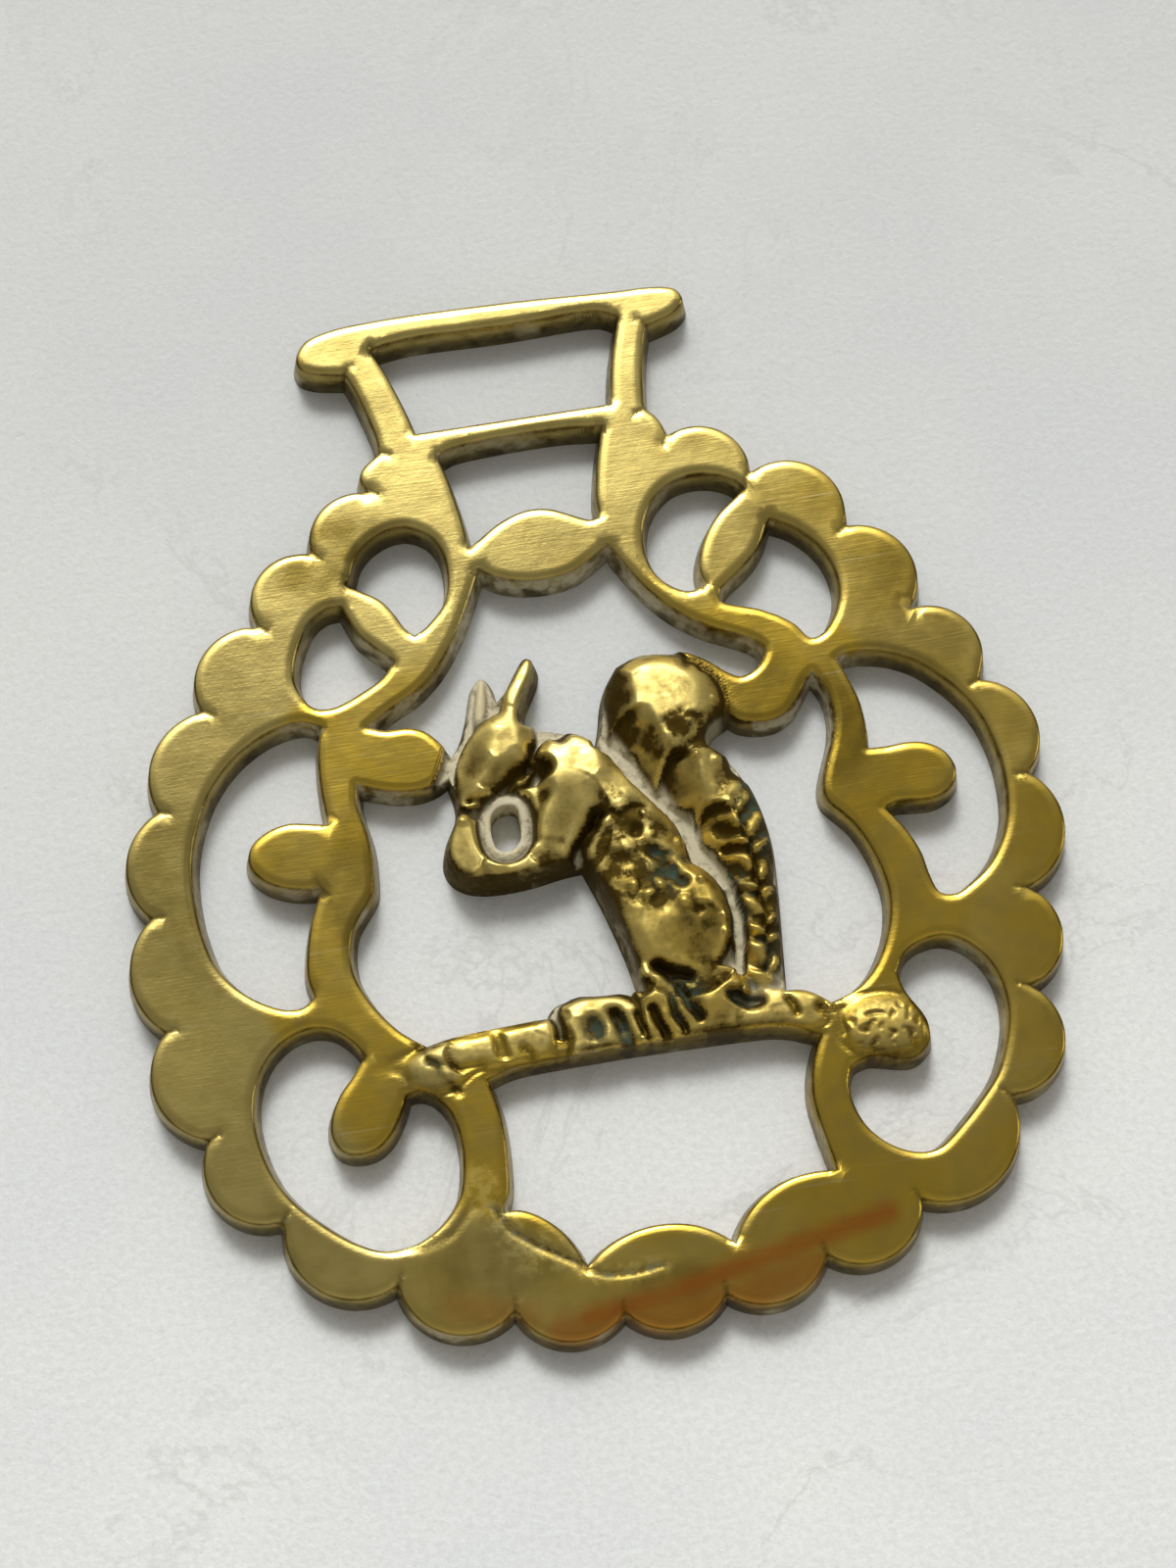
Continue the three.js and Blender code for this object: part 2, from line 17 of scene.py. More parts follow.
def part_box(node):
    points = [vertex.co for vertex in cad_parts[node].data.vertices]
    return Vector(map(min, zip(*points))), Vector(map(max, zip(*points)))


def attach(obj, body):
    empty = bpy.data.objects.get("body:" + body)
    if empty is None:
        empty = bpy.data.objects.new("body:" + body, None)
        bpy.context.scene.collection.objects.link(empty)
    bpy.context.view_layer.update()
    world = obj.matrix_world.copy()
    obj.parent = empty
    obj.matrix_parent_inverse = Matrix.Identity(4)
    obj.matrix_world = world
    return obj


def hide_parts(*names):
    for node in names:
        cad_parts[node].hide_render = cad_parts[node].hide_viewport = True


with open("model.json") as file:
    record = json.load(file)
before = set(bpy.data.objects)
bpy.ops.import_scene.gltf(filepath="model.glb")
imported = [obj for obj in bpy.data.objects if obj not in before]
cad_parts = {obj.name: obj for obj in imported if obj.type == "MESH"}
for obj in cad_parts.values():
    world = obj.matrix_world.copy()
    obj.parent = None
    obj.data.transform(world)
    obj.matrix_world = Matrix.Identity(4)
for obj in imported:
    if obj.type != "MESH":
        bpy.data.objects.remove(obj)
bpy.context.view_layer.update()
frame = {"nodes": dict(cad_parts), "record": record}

MM = 0.001
TAU = 2 * math.pi

# ---- Sizes, in millimetres ----

mount_height = {mount["name"]: mount["pos_m"][2] / MM for mount in frame["record"]["mounts"]}
CENTRE_TO_CORNER = (38.146, 51.754)  # from the ring's centre to the far corner of the casting's box
RING_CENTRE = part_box("brass_casting")[1].xy / MM - Vector(CENTRE_TO_CORNER)

PLATE = mount_height["strap_bar_front"]
WEB = 1.7             # thin web behind the squirrel
DRAFT = 0.4           # how far the back stands outside the front outline
WEB_DRAFT = 0.1       # and at the small hole in the web,
SMALL_HOLE = 14.0     # the only one with less than this round it
EDGE_DROP = 0.25      # height of the worn edge
EDGE_REACH = 0.30     # width of the worn edge on the plate
EDGE_CROWN = 1.6      # 1 is a straight chamfer, more is rounder
RELIEF_REACH = 0.08   # the edge of the relief is wider by this for each millimetre above the plate,
RELIEF_CROWN = 0.5    # and rounder by this, up to 2 mm above it
WALL = PLATE - EDGE_DROP
WEAR_DROP = 0.06      # depth of the wear between the edge and the face
WEAR_REACH = 0.32     # its width
WEAR_CROWN = 1.25     # and its roundness
SWELL = 0.02          # the polished face isn't quite flat
SWELL_SIZE = 7.0
RING_INSETS = (0.05, 0.12, 0.22, 0.34, 0.48, 0.68, 0.92, 1.25, 1.7)  # rows of points along the edge
OUTLINE_STEP = 0.30   # spacing of the points along an outline
PLATE_STEP = 0.75     # spacing of the points on the plate
RELIEF_STEP = 0.16    # and on the squirrel and its branch
ROW_STEP = 0.866      # rows of points are this much closer than the points in a row


# ---- Outlines ----

# The small hole in the squirrel's face, worn to this shape.
FACE_HOLE = [(-7.75, 6.5), (-6.9, 7.1), (-5.85, 6.95), (-5.65, 6.1), (-5.9, 4.2), (-6.7, 3.45), (-7.7, 3.75)]

# Shallow lines in the plate: points, half width, depth.
PLATE_CREASES = [
    ([(-12.6, -25), (-11.8, -26.8), (-10, -28.3), (-8, -29.6), (-6.4, -30.6)], 0.3, 0.16),
    ([(-6.4, -30.9), (-4.9, -31.5), (-3, -31.7), (-0.4, -31.4)], 0.3, 0.1),
    ([(-14.4, -24.6), (-16.2, -26.4), (-18.6, -27.2), (-21.2, -26.8)], 0.35, 0.06),
    ([(-16.6, -11.2), (-15.6, -13), (-14, -15.4)], 0.35, 0.15),
]
VALLEY_CREASE = (0.9, 0.22, 0.08)  # length, half width, depth

# A corner bends by at least the first angle, and its bend in radians times its shorter side is at
# least the size, or it bends by the second angle.
CORNER_BEND, CORNER_SIZE, SHARP_BEND = math.radians(38), 0.62, math.radians(78)
MITRE_LIMIT = 2.2  # an inset corner moves no further than this many insets
FOLD_SHARE = 0.97  # a point that ends nearer than this share of the inset is in a fold
PARALLEL = 0.05    # sine of the angle under which two sides count as parallel


def back_outlines(node):
    """Closed outlines of the flat back, with the metal on their left."""
    places = [tuple(round(c / MM, 3) for c in vertex.co) for vertex in node.data.vertices]
    edges = set()
    for polygon in node.data.polygons:
        corners = [places[i] for i in polygon.vertices]
        if max(z for _, _, z in corners) < 0.001:
            edges.update(zip(corners, corners[1:] + corners[:1]))
    following = {end: start for start, end in edges if (end, start) not in edges}
    loops = []
    while following:
        loop = [next(iter(following))]
        while loop[-1] in following:
            loop.append(following.pop(loop[-1]))
        loops.append(np.array(loop[:-1])[:, :2] - RING_CENTRE)
    return loops


def cross(a, b):
    return a[..., 0] * b[..., 1] - a[..., 1] * b[..., 0]


def unit(vectors):
    return vectors / np.maximum(np.linalg.norm(vectors, axis=-1, keepdims=True), 1e-12)


def ease(t):
    t = np.clip(t, 0, 1)
    return t * t * (3 - 2 * t)


def ramp(values, start, end):
    """Smoothly from 0 at the start to 1 at the end, which may lie below the start."""
    return ease((values - start) / (end - start))


def corner_flags(loop):
    """True where an outline has a corner and not only a bend of a thinned-out curve."""
    before = loop - np.roll(loop, 1, 0)
    after = np.roll(loop, -1, 0) - loop
    bend = np.abs(np.arctan2(cross(before, after), (before * after).sum(1)))
    shorter = np.minimum(np.linalg.norm(before, axis=1), np.linalg.norm(after, axis=1))
    return ((bend * shorter > CORNER_SIZE) & (bend > CORNER_BEND)) | (bend > SHARP_BEND)


def smooth_curve(points, spacing):
    """Centripetal Catmull-Rom curve through the points, without its last point."""
    first = 2 * points[0] - points[1]
    last = 2 * points[-1] - points[-2]
    p = np.vstack([first, points, last])
    gap = np.maximum(np.linalg.norm(np.diff(p, axis=0), axis=1) ** 0.5, 1e-6)
    curve = []
    for i in range(1, len(p) - 2):
        before, here, after = gap[i - 1], gap[i], gap[i + 1]
        start, end = p[i], p[i + 1]
        leave = (start - p[i - 1]) / before - (end - p[i - 1]) / (before + here) + (end - start) / here
        arrive = (end - start) / here - (p[i + 2] - start) / (here + after) + (p[i + 2] - end) / after
        steps = max(1, round(np.linalg.norm(end - start) / spacing))
        t = (np.arange(steps) / steps)[:, None]
        curve.append(
            (2 * t**3 - 3 * t**2 + 1) * start + (t**3 - 2 * t**2 + t) * here * leave
            + (3 * t**2 - 2 * t**3) * end + (t**3 - t**2) * here * arrive)
    return np.vstack(curve)


def smooth_outline(loop, keep_corners=True):
    """The outline as a fine smooth loop that keeps its corners."""
    corners = np.flatnonzero(corner_flags(loop)) if keep_corners else []
    if len(corners) == 0:
        fine = smooth_curve(np.vstack([loop[-2:], loop, loop[:3]]), OUTLINE_STEP)
        begins = np.argmin(np.linalg.norm(fine - loop[0], axis=1))
        ends = len(fine) - 1 - np.argmin(np.linalg.norm(fine[::-1] - loop[0], axis=1))
        return fine[begins:ends]
    rolled = np.roll(loop, -corners[0], 0)
    stops = list(corners - corners[0]) + [len(loop)]
    closed = np.vstack([rolled, rolled[:1]])
    stretches = [closed[a:b + 1] for a, b in zip(stops, stops[1:])]
    return np.vstack([smooth_curve(stretch, OUTLINE_STEP) for stretch in stretches])


class Contours:
    """Closed loops with the metal on their left, and the signed distance to them."""

    def __init__(self, loops):
        self.loops = loops
        self.points = np.vstack(loops)
        ends = np.cumsum([len(loop) for loop in loops])
        numbers = np.split(np.arange(ends[-1]), ends[:-1])
        self.previous = np.concatenate([np.roll(loop, 1) for loop in numbers])
        self.following = np.concatenate([np.roll(loop, -1) for loop in numbers])
        self.tree = KDTree(len(self.points))
        for i, (x, y) in enumerate(self.points):
            self.tree.insert((x, y, 0), i)
        self.tree.balance()

    def distance(self, places):
        """Distance of each place to the loops, positive on the metal's side."""
        nearest = np.array([self.tree.find((x, y, 0))[1] for x, y in places])
        here = self.points[nearest]
        away = places - here
        sides = []
        for neighbour, sense in ((self.previous[nearest], -1), (self.following[nearest], 1)):
            way = self.points[neighbour] - here
            share = np.clip((away * way).sum(1) / np.maximum((way * way).sum(1), 1e-12), 0, 1)
            gap = np.linalg.norm(away - way * share[:, None], axis=1)
            sides.append((unit(way), share, gap, sense * cross(way, away)))
        (to_last, share_a, gap_a, side_a), (to_next, share_b, gap_b, side_b) = sides
        side = np.where(gap_b < gap_a, side_b, side_a)
        at_point = (share_a == 0) & (share_b == 0)
        side = np.where(at_point, cross(to_next - to_last, away), side)
        return np.minimum(gap_a, gap_b) * np.where(side >= 0, 1, -1)


def inset(loop, distance):
    """The loop moved into the metal, with its folds taken out and its corners kept sharp."""
    count = len(loop)
    way = np.roll(loop, -1, 0) - loop
    after = unit(way)
    before = np.roll(after, 1, 0)
    mean = unit(before + after)
    sideways = np.column_stack([-mean[:, 1], mean[:, 0]])
    lean = np.clip((mean * after).sum(1), 1 / MITRE_LIMIT, 1)
    moved = loop + sideways * (distance / lean)[:, None]
    gaps = Contours([loop]).distance(moved)
    good = np.abs(gaps) > FOLD_SHARE * abs(distance)
    result = moved.copy()
    for i in np.flatnonzero(~good):
        back = next((k for k in range(1, count) if good[(i - k) % count]), 1)
        forward = next((k for k in range(1, count) if good[(i + k) % count]), 1)
        last, coming = (i - back) % count, (i + forward) % count
        turn = cross(way[last], way[coming - 1])
        if abs(turn) < PARALLEL * np.linalg.norm(way[last]) * np.linalg.norm(way[coming - 1]):
            result[i] = (moved[last] + moved[coming]) / 2
        else:
            share = cross(moved[coming] - moved[last], way[coming - 1]) / turn
            result[i] = moved[last] + way[last] * share
    return result


# ---- Relief: the squirrel and its branch ----

# Rounded masses: centre, half-lengths along and across, turn of the long side in degrees, height.
MASSES = [
    ((-6.7, 11.2), (4.7, 2.9), 52, 5.2),  # skull and cheek
    ((-9, 8.9), (1.9, 1.3), 55, 4.3),  # snout
    ((-3.9, 16.4), (3.6, 1.3), 62, 4.6),  # near ear
    ((-7.3, 15.4), (3.2, 0.6), 78, 2.7),  # far ear
    ((-0.7, 9), (3.7, 3.5), -35, 5.7),  # shoulder
    ((2.5, 3.6), (8.2, 3.9), -64, 5.4),  # back
    ((1.6, 0), (6, 2.9), -72, 4.9),  # belly
    ((5.6, -4.6), (4.3, 5.2), 0, 6),  # haunch
    ((2.8, -3.4), (3.2, 5.6), -8, 4.9),  # and the belly in front of it
    ((-2, 5.4), (4.4, 2.4), 62, 5.2),  # upper arm
    ((-6, 2.3), (4.9, 1.6), 0, 4.5),  # forearm
    ((-4.3, 7.4), (1.5, 2.6), -15, 3.9),  # between cheek and arm
    ((-10.1, 4), (2.1, 3.5), 12, 4.8),  # paws round a nut
    ((2.5, -10.2), (1.7, 3.2), 10, 4.6),  # far foot
    ((6.6, -10.9), (3.8, 2.5), 4, 5),  # near foot
    ((11.6, -5), (7, 2.3), 86, 4.4),  # tail, from its root up
    ((11.3, 2.4), (5.4, 3), 101, 5),
    ((8.2, 8.6), (5.2, 3.4), 118, 5.3),
    ((7.3, 13.4), (5.5, 4.6), -14, 5.9),  # its curl
    ((9.2, 11.2), (2.8, 1.7), 10, 4.9),  # and the curl's neck
    ((-1, -12.7), (20, 2.2), -0.5, 3.9),  # branch
    ((-2.3, -12.2), (4.6, 3.1), 0, 4.3),  # knot
    ((-15, -13.3), (3.6, 2.4), 22, 3.6),  # fork
    ((12.6, -13.5), (4.4, 2.3), 0, 4),  # right end of the branch
    ((20, -15.8), (4.4, 3.2), -8, 3.7),  # leaf
]
DOME_SHOULDER = 2.6     # how flat a mass is in its middle
DOME_ROUNDNESS = 0.55   # how upright its side is, less is steeper
SKIRT_SLOPE = 9.0       # how fast it falls away outside its ellipse
MELT = 2.2              # how sharply masses meet each other,
GROUND_SHARPNESS = 4.0  # and how sharply they meet the plate

# Where the plate is cut down to the web, and how wide the slope down to it is.
SQUIRREL_GROUND = [
    (-10.5, 13.2), (-10.3, 19.6), (-4, 19.8), (2, 19.4), (7, 19.4), (9.6, 17.8), (10.6, 15.2), (11.4, 12.4),
    (13.2, 9.9), (15.6, 3), (15.2, -5), (14.2, -11.2), (12.6, -12.6), (6, -12.9), (0, -12.7), (-5, -12.6),
    (-7.2, -11.5), (-3.6, -6), (-4, -1.2), (-12, -1), (-14, 3), (-12.6, 8.6),
]
POCKET_WALL = 0.5


def dome(x, y, mass):
    (cx, cy), (along_half, across_half), turn, height = mass
    angle = math.radians(turn)
    along = ((x - cx) * math.cos(angle) + (y - cy) * math.sin(angle)) / along_half
    across = ((y - cy) * math.cos(angle) - (x - cx) * math.sin(angle)) / across_half
    reach = np.hypot(along, across)
    inside = np.clip(1 - np.minimum(reach, 1) ** DOME_SHOULDER, 0, 1) ** DOME_ROUNDNESS
    return np.where(reach > 1, WEB - SKIRT_SLOPE * (reach - 1), WEB + (height - WEB) * inside)


def relief(x, y):
    domes = np.array([dome(x, y, mass) for mass in MASSES])
    return np.log(np.exp(MELT * domes).sum(0)) / MELT


def soft_min(a, b, sharpness):
    return -np.logaddexp(-sharpness * a, -sharpness * b) / sharpness


def reach_from(x, y, middle, half_lengths):
    """1 on the ellipse round the middle, less inside it."""
    return np.hypot((x - middle[0]) / half_lengths[0], (y - middle[1]) / half_lengths[1])


def path_coordinates(x, y, path):
    """Distance to an open line, length along it, and distance to its right, for each place."""
    places = np.column_stack([x, y])
    line = np.array(path, float)
    nearest = np.full(len(places), np.inf)
    along, aside = np.zeros(len(places)), np.zeros(len(places))
    travelled = 0.0
    for start, end in zip(line[:-1], line[1:]):
        way = end - start
        length = np.linalg.norm(way)
        share = np.clip(((places - start) @ way) / (way @ way), 0, 1)
        gap = places - start - share[:, None] * way
        distance = np.linalg.norm(gap, axis=1)
        closer = distance < nearest
        nearest = np.where(closer, distance, nearest)
        along = np.where(closer, travelled + share * length, along)
        aside = np.where(closer, distance * np.sign(cross(gap, way)), aside)
        travelled += length
    return nearest, along, aside


def groove(x, y, path, half_width, power=2):
    """1 along the path, and less to its sides."""
    return np.exp(-(path_coordinates(x, y, path)[0] / half_width) ** power)


def spots(x, y, areas, start=1.25, end=0.65):
    """The strongest of the soft spots at each place, whose reach is counted in half-lengths."""
    return np.max([strength * ramp(reach_from(x, y, *area), start, end) for *area, strength in areas], 0)


# Flat facets cut on the masses: a point of the facet with its height, the compass way it falls
# (0 is +Y, 90 is +X), its slope in degrees, and the middle and half-lengths of the area it may cut.
FACETS = [
    ((-0.9, 8.2), 5.3, 351, 9, (-0.8, 10.9), (3.4, 3.3)),  # top of the shoulder
    ((-0.6, 8.2), 5.3, 200, 12, (-2, 4.6), (3.6, 4.4)),  # upper arm
    ((-6.9, 11.4), 4.75, 282, 32, (-8.8, 11), (3.6, 4.6)),  # left side of the head
    ((-5.7, 11.4), 4.75, 352, 1, (-5.4, 12.6), (1.9, 2.2)),  # brow
    ((-5.4, 11), 4.7, 160, 38, (-5.8, 9.8), (2.9, 1.6)),  # cheek
    ((-5.4, 13.6), 4.65, 350, 14, (-5.4, 14.3), (1.2, 0.9)),  # foot of the near ear
    ((-3.6, 16.8), 4.1, 338, 13, (-3.6, 17), (2.6, 2.6)),  # its lit side
    ((-2.7, 15.5), 4.1, 118, 55, (-2, 15.3), (1.6, 2.6)),  # and its dark side
    ((-4.6, 2.6), 4.1, 190, 8, (-5.4, 2), (3.6, 1.8)),  # forearm
    ((-10.2, 4.2), 4.2, 250, 8, (-10.6, 3.8), (1.7, 2.2)),  # nut
    ((4, -2.4), 5.05, 345, 2, (4, -1.6), (5.6, 6.4)),  # haunch and back
    ((4.8, -4.6), 5.1, 150, 16, (5.4, -7.2), (4.6, 3.8)),  # and its lower half
    ((2.2, 2), 5, 290, 12, (1.4, 1.4), (2, 3.4)),  # chest
    ((-9, -11.6), 3.35, 178, 4, (-9.5, -12.6), (5, 2.6)),  # branch
    ((-9, -11.6), 3.35, 354, 15, (-9.5, -11), (5, 1.4)),
    ((-2, -10.6), 3.75, 178, 4, (-2.2, -12.2), (3.6, 3)),  # knot
    ((-2, -10.9), 3.75, 356, 14, (-1.6, -9.8), (4, 1.4)),
    ((12.5, -12.5), 3.5, 178, 5, (12.5, -13.8), (4, 2.6)),
    ((12.5, -12.7), 3.5, 356, 14, (12.6, -11.8), (4, 1.4)),
]
# The same on the tail, right of the slit.
TAIL_FACETS = [
    ((7.6, 15.2), 5.4, 346, 7, (8, 16.6), (4.6, 3)),  # top of the curl
    ((7.4, 12), 5.4, 320, 3, (8, 13.4), (3.8, 3.2)),  # its flat side
    ((5.3, 14), 5.35, 272, 50, (3.4, 14.2), (3.6, 5)),  # its dark skirt
    ((6.9, 9.8), 4.9, 245, 46, (5.4, 9.4), (3, 3.6)),  # left flank
    ((9.4, 4.9), 4.5, 250, 44, (8.2, 4.8), (2.4, 4)),
    ((10.9, 0.6), 4.2, 262, 42, (9.9, 0), (2, 4)),
    ((13, 2), 4.4, 80, 34, (14.2, 1), (2.2, 7)),  # right flank
]
FACET_SHARPNESS = 9.0  # how crisp a facet's ridge is
FACET_END = 5.0        # how steeply a facet runs out at the end of its area
HAND_WOBBLE = 0.2      # how far the carving strays from its lines
HAND_SIZE = 1.3
LUMP_DEPTH = 0.23      # lumps left by the carver's tool
LUMP_SIZE = 1.25
FUR_DEPTH = 0.05       # and finer ones on them
FUR_SIZE = 0.5
LUMPS_FADE = (1.15, 0.75)  # where their areas begin and are full, in half-lengths
# Areas with lumps: middle, half-lengths, share of the full depth.
LUMPY = [
    ((3.4, 1.6), (3.8, 6), 1), ((5.4, -5.2), (3.6, 3.2), 0.3), ((11.8, -1), (2.6, 9.6), 0.8),
    ((5, -10.4), (4.6, 2.6), 0.8), ((-5, 2.2), (4.4, 1.6), 0.4), ((3.8, 14), (1.8, 4), 0.5),
    ((8.4, 10.2), (3, 2), 1), ((-2, -13), (16, 2), 0.15),
]

# Lines cut into the relief: points, half width, depth.
CREASES = [
    ([(-3.6, 11.4), (-3.4, 10.2), (-3.9, 8.6)], 0.4, 0.6),  # head against shoulder
    ([(-9.4, 7.9), (-8, 7.8), (-6.6, 8.3), (-5.6, 9.3), (-4.2, 9.9)], 0.34, 0.8),  # jaw
    ([(0.6, 4.8), (-0.4, 3.6), (-1.2, 2.4), (-1.4, 1.4)], 0.5, 1.3),  # arm against belly
    ([(3.2, -8.2), (4.4, -9), (5.6, -9.4)], 0.45, 1.3),  # haunch against the feet
    ([(4.6, -10), (5, -11.6), (5.7, -12.6)], 0.42, 1.2),  # between the toes
    ([(2.1, -11.6), (2.5, -12.8), (3, -14)], 0.36, 1),
    ([(-0.9, -11.4), (-0.5, -12.6), (-0.1, -14.2)], 0.5, 1.1),
    ([(3.6, -11), (3.9, -12.4), (4.4, -13.6)], 0.28, 0.7),
    ([(0.9, -11.8), (1.1, -12.8), (1.4, -13.8)], 0.24, 0.5),
    ([(-5.6, -10.2), (-5.3, -12), (-5.5, -14.4)], 0.5, 0.9),  # end of the knot
    ([(-10.4, -11.6), (-10, -13.2)], 0.35, 0.5),  # bark
    ([(-8.4, -12.8), (-7.4, -14.2)], 0.3, 0.35),
    ([(-16, -12.6), (-13.6, -13.8), (-12, -13.6)], 0.35, 0.3),  # fork
    ([(-13.4, -15.6), (-11.6, -14.6), (-10.2, -14.2)], 0.35, 0.4),
    ([(12.9, -12.4), (13.4, -13.6)], 0.3, 0.4),
    ([(15.4, -13.4), (16.4, -14.4), (16.6, -15.6)], 0.4, 0.6),  # foot of the leaf
    ([(8.6, -11.4), (9.6, -12), (10.6, -12.1)], 0.45, 0.9),  # tail's root
    ([(12.4, 12), (10.8, 11.6), (9.8, 11.2)], 0.45, 0.25),  # under the curl
    ([(10.4, 9.4), (9.2, 9.2), (7.8, 8.6)], 0.45, 0.4),
]

# Small bumps and, with a height below zero, pits: centre, radius, height.
BUMPS = [
    (4.1, 4.1, 0.5, 0.35), (6.8, 1.7, 0.6, 0.45), (2.4, -1.5, 0.75, 0.5), (4.4, -2, 0.8, 0.5),
    (3.5, -2.6, 0.7, 0.35), (7.8, -2, 0.6, 0.5), (6, -3.7, 0.65, 0.45), (9.2, -5.2, 0.55, 0.4),
    (9.1, -6.5, 0.5, 0.4), (2, 1.6, 1.3, 0.35), (1.2, 4, 1, 0.3),
    (5, 0.2, 1.1, -0.75), (5.3, -1, 1.2, -0.85), (6.2, -2, 0.9, -0.75), (4.4, 0.9, 0.8, -0.6),
    (3.3, 2.8, 0.8, -0.55), (0.1, 3.9, 0.7, -0.4), (7, -4.4, 0.7, -0.35),
    (8, -10.2, 0.55, 0.45), (9.1, -10.9, 0.5, 0.4), (4.6, -10.9, 0.4, 0.25),
    (11.5, 12.9, 0.4, 0.3), (9.2, 11.1, 0.5, 0.25), (9.2, 8.1, 0.5, 0.45), (10.8, 7.8, 0.6, 0.45),
    (9.8, 16.3, 1, -0.3), (11.2, 15.9, 0.7, -0.4), (11.6, 16.5, 0.5, 0.3),
    (-10.1, 6.3, 0.9, 0.3), (-8, 2.3, 1.1, 0.3), (-2.6, -12.2, 1.4, -0.5), (-3.2, 10.7, 0.5, 0.4),
    (16.1, -13.7, 0.5, 0.4), (17.1, -13.3, 0.5, 0.3),
]

# Two rows of tufts on the tail, along this line.
TAIL_LINE = [(11.7, -10.6), (12, -8), (12.2, -5), (12.2, -2), (12, 1), (11.5, 4), (10.6, 6.6), (9.6, 8.6)]
TUFT_PITCH = 1.85
TUFT_DEPTH = 0.78
TUFT_SLANT = 0.5       # how far a tuft trails behind for each millimetre from the line
TUFT_SWAY = 0.12       # how unevenly they follow each other, as a share of the pitch
PARTING = (0.9, 0.3)   # depth and half width of the groove between the rows
TAIL_HALF_WIDTH = 2.5
TUFTS_END = 16.5       # how far along the line they reach

# The slit between tail and back, down to the web.
SLIT = [
    (1.7, 10.9), (2.7, 10.1), (3.6, 8.8), (4.3, 7.3), (5.5, 5.8), (6.7, 4), (7.9, 2),
    (9.1, 0.2), (9.7, -1.1), (10, -2.7), (10.3, -5.1), (10.1, -7.1), (9.7, -9.4),
]
ABOVE_SLIT, BELOW_SLIT = (0.9, 20.0), (9.4, -11.4)  # where its line goes on, between tail and back
SLIT_HALF_WIDTH = 0.3
SLIT_SLOPE = 7.0
SLIT_SHARPNESS = 5.0
# The rounded rim round the hole in the face: its height, width, fall, and the slope of the pit outside it.
FACE_RIM = (2.95, 0.95, 0.55, 3.2)
RIM_SHARPNESS = 6.0    # how crisply it rises from its surroundings
LEAF_PITS = ((20.0, -16.2), (3.8, 2.6), 0.55, 0.15)  # middle, half-lengths, pitch, depth


def slit_distance(x, y):
    """Distance to the slit, and whether the place is on the tail's side of it."""
    _, _, aside = path_coordinates(x, y, [ABOVE_SLIT, *SLIT, BELOW_SLIT])
    return path_coordinates(x, y, SLIT)[0], (aside < 0) & (y > BELOW_SLIT[1])


def waves(x, y, size, seed):
    """Smooth noise between about -1 and 1, with features of the given size."""
    places = zip((x / size).tolist(), (y / size).tolist())
    return np.array([noise.noise(Vector((a, b, seed))) for a, b in places])


def cut_facets(x, y, height):
    """The height with flat facets cut on the body and, right of the slit, on the tail."""
    to_slit, right_of_slit = slit_distance(x, y)
    for facets, where in ((FACETS, ~right_of_slit), (TAIL_FACETS, right_of_slit)):
        for (px, py), level, way, slope, middle, half_lengths in facets:
            a = math.radians(way)
            fall = (x - px) * math.sin(a) + (y - py) * math.cos(a)
            plane = level - math.tan(math.radians(slope)) * fall
            outside = np.maximum(reach_from(x, y, middle, half_lengths) - 1, 0)
            plane = plane + FACET_END * outside * min(half_lengths)
            height = np.where(where, soft_min(height, plane, FACET_SHARPNESS), height)
    return height, to_slit


def tail_tufts(x, y):
    """Height that the two rows of tufts add to the tail."""
    _, along, aside = path_coordinates(x, y, TAIL_LINE)
    column = np.where(aside > 0, 0.5, 0.0) + TUFT_SWAY * np.sin(1.7 * along)
    wave = np.cos(TAU * ((along - TUFT_SLANT * np.abs(aside)) / TUFT_PITCH + column))
    parting_depth, parting_width = PARTING
    wave = wave - parting_depth * np.exp(-(aside / parting_width) ** 2)
    tail_end = ease(along) * ease((TUFTS_END - along) / 4)
    on_tail = ease((TAIL_HALF_WIDTH - np.abs(aside)) / 0.8) * tail_end
    return TUFT_DEPTH / 2 * (wave - 0.5) * on_tail


def leaf_pits(x, y):
    """Depth of the pits on the leaf."""
    middle, half_lengths, pitch, depth = LEAF_PITS
    dots = ease((waves(x, y, pitch, 41.5) - 0.1) / 0.25)
    return depth * dots * ease((1 - reach_from(x, y, middle, half_lengths)) / 0.3)


def shape_face_hole(height, to_hole):
    """The height with the rounded rim of the face's hole, and the pit round it."""
    level, width, fall, slope = FACE_RIM
    outwards = np.maximum(to_hole, 0)
    rim = level - fall * np.minimum(outwards / width, 1) ** 2
    beyond = np.maximum(outwards - width, 0)
    height = soft_min(height, rim + slope * beyond, RIM_SHARPNESS)
    return -soft_min(-height, -(rim - slope * beyond), RIM_SHARPNESS)


def carve(x, y, height):
    """The relief with its facets, lumps, creases, bumps, tufts and pits."""
    to_hole = face_edge.distance(np.column_stack([x, y]))
    x = x + HAND_WOBBLE * waves(x, y, HAND_SIZE, 1.5)
    y = y + HAND_WOBBLE * waves(x, y, HAND_SIZE, 7.5)
    height, to_slit = cut_facets(x, y, height)
    lumps = LUMP_DEPTH * waves(x, y, LUMP_SIZE, 21.5) + FUR_DEPTH * waves(x, y, FUR_SIZE, 33.5)
    height = height + spots(x, y, LUMPY, *LUMPS_FADE) * lumps
    for path, width, depth in CREASES:
        height = height - depth * groove(x, y, path, width)
    for cx, cy, radius, rise in BUMPS:
        height = height + rise * np.maximum(1 - ((x - cx) ** 2 + (y - cy) ** 2) / radius**2, 0) ** 2
    height = height + tail_tufts(x, y) - leaf_pits(x, y)
    slit = WEB + SLIT_SLOPE * np.maximum(to_slit - SLIT_HALF_WIDTH, 0)
    return shape_face_hole(soft_min(height, slit, SLIT_SHARPNESS), to_hole)


# ---- Surface and mesh ----

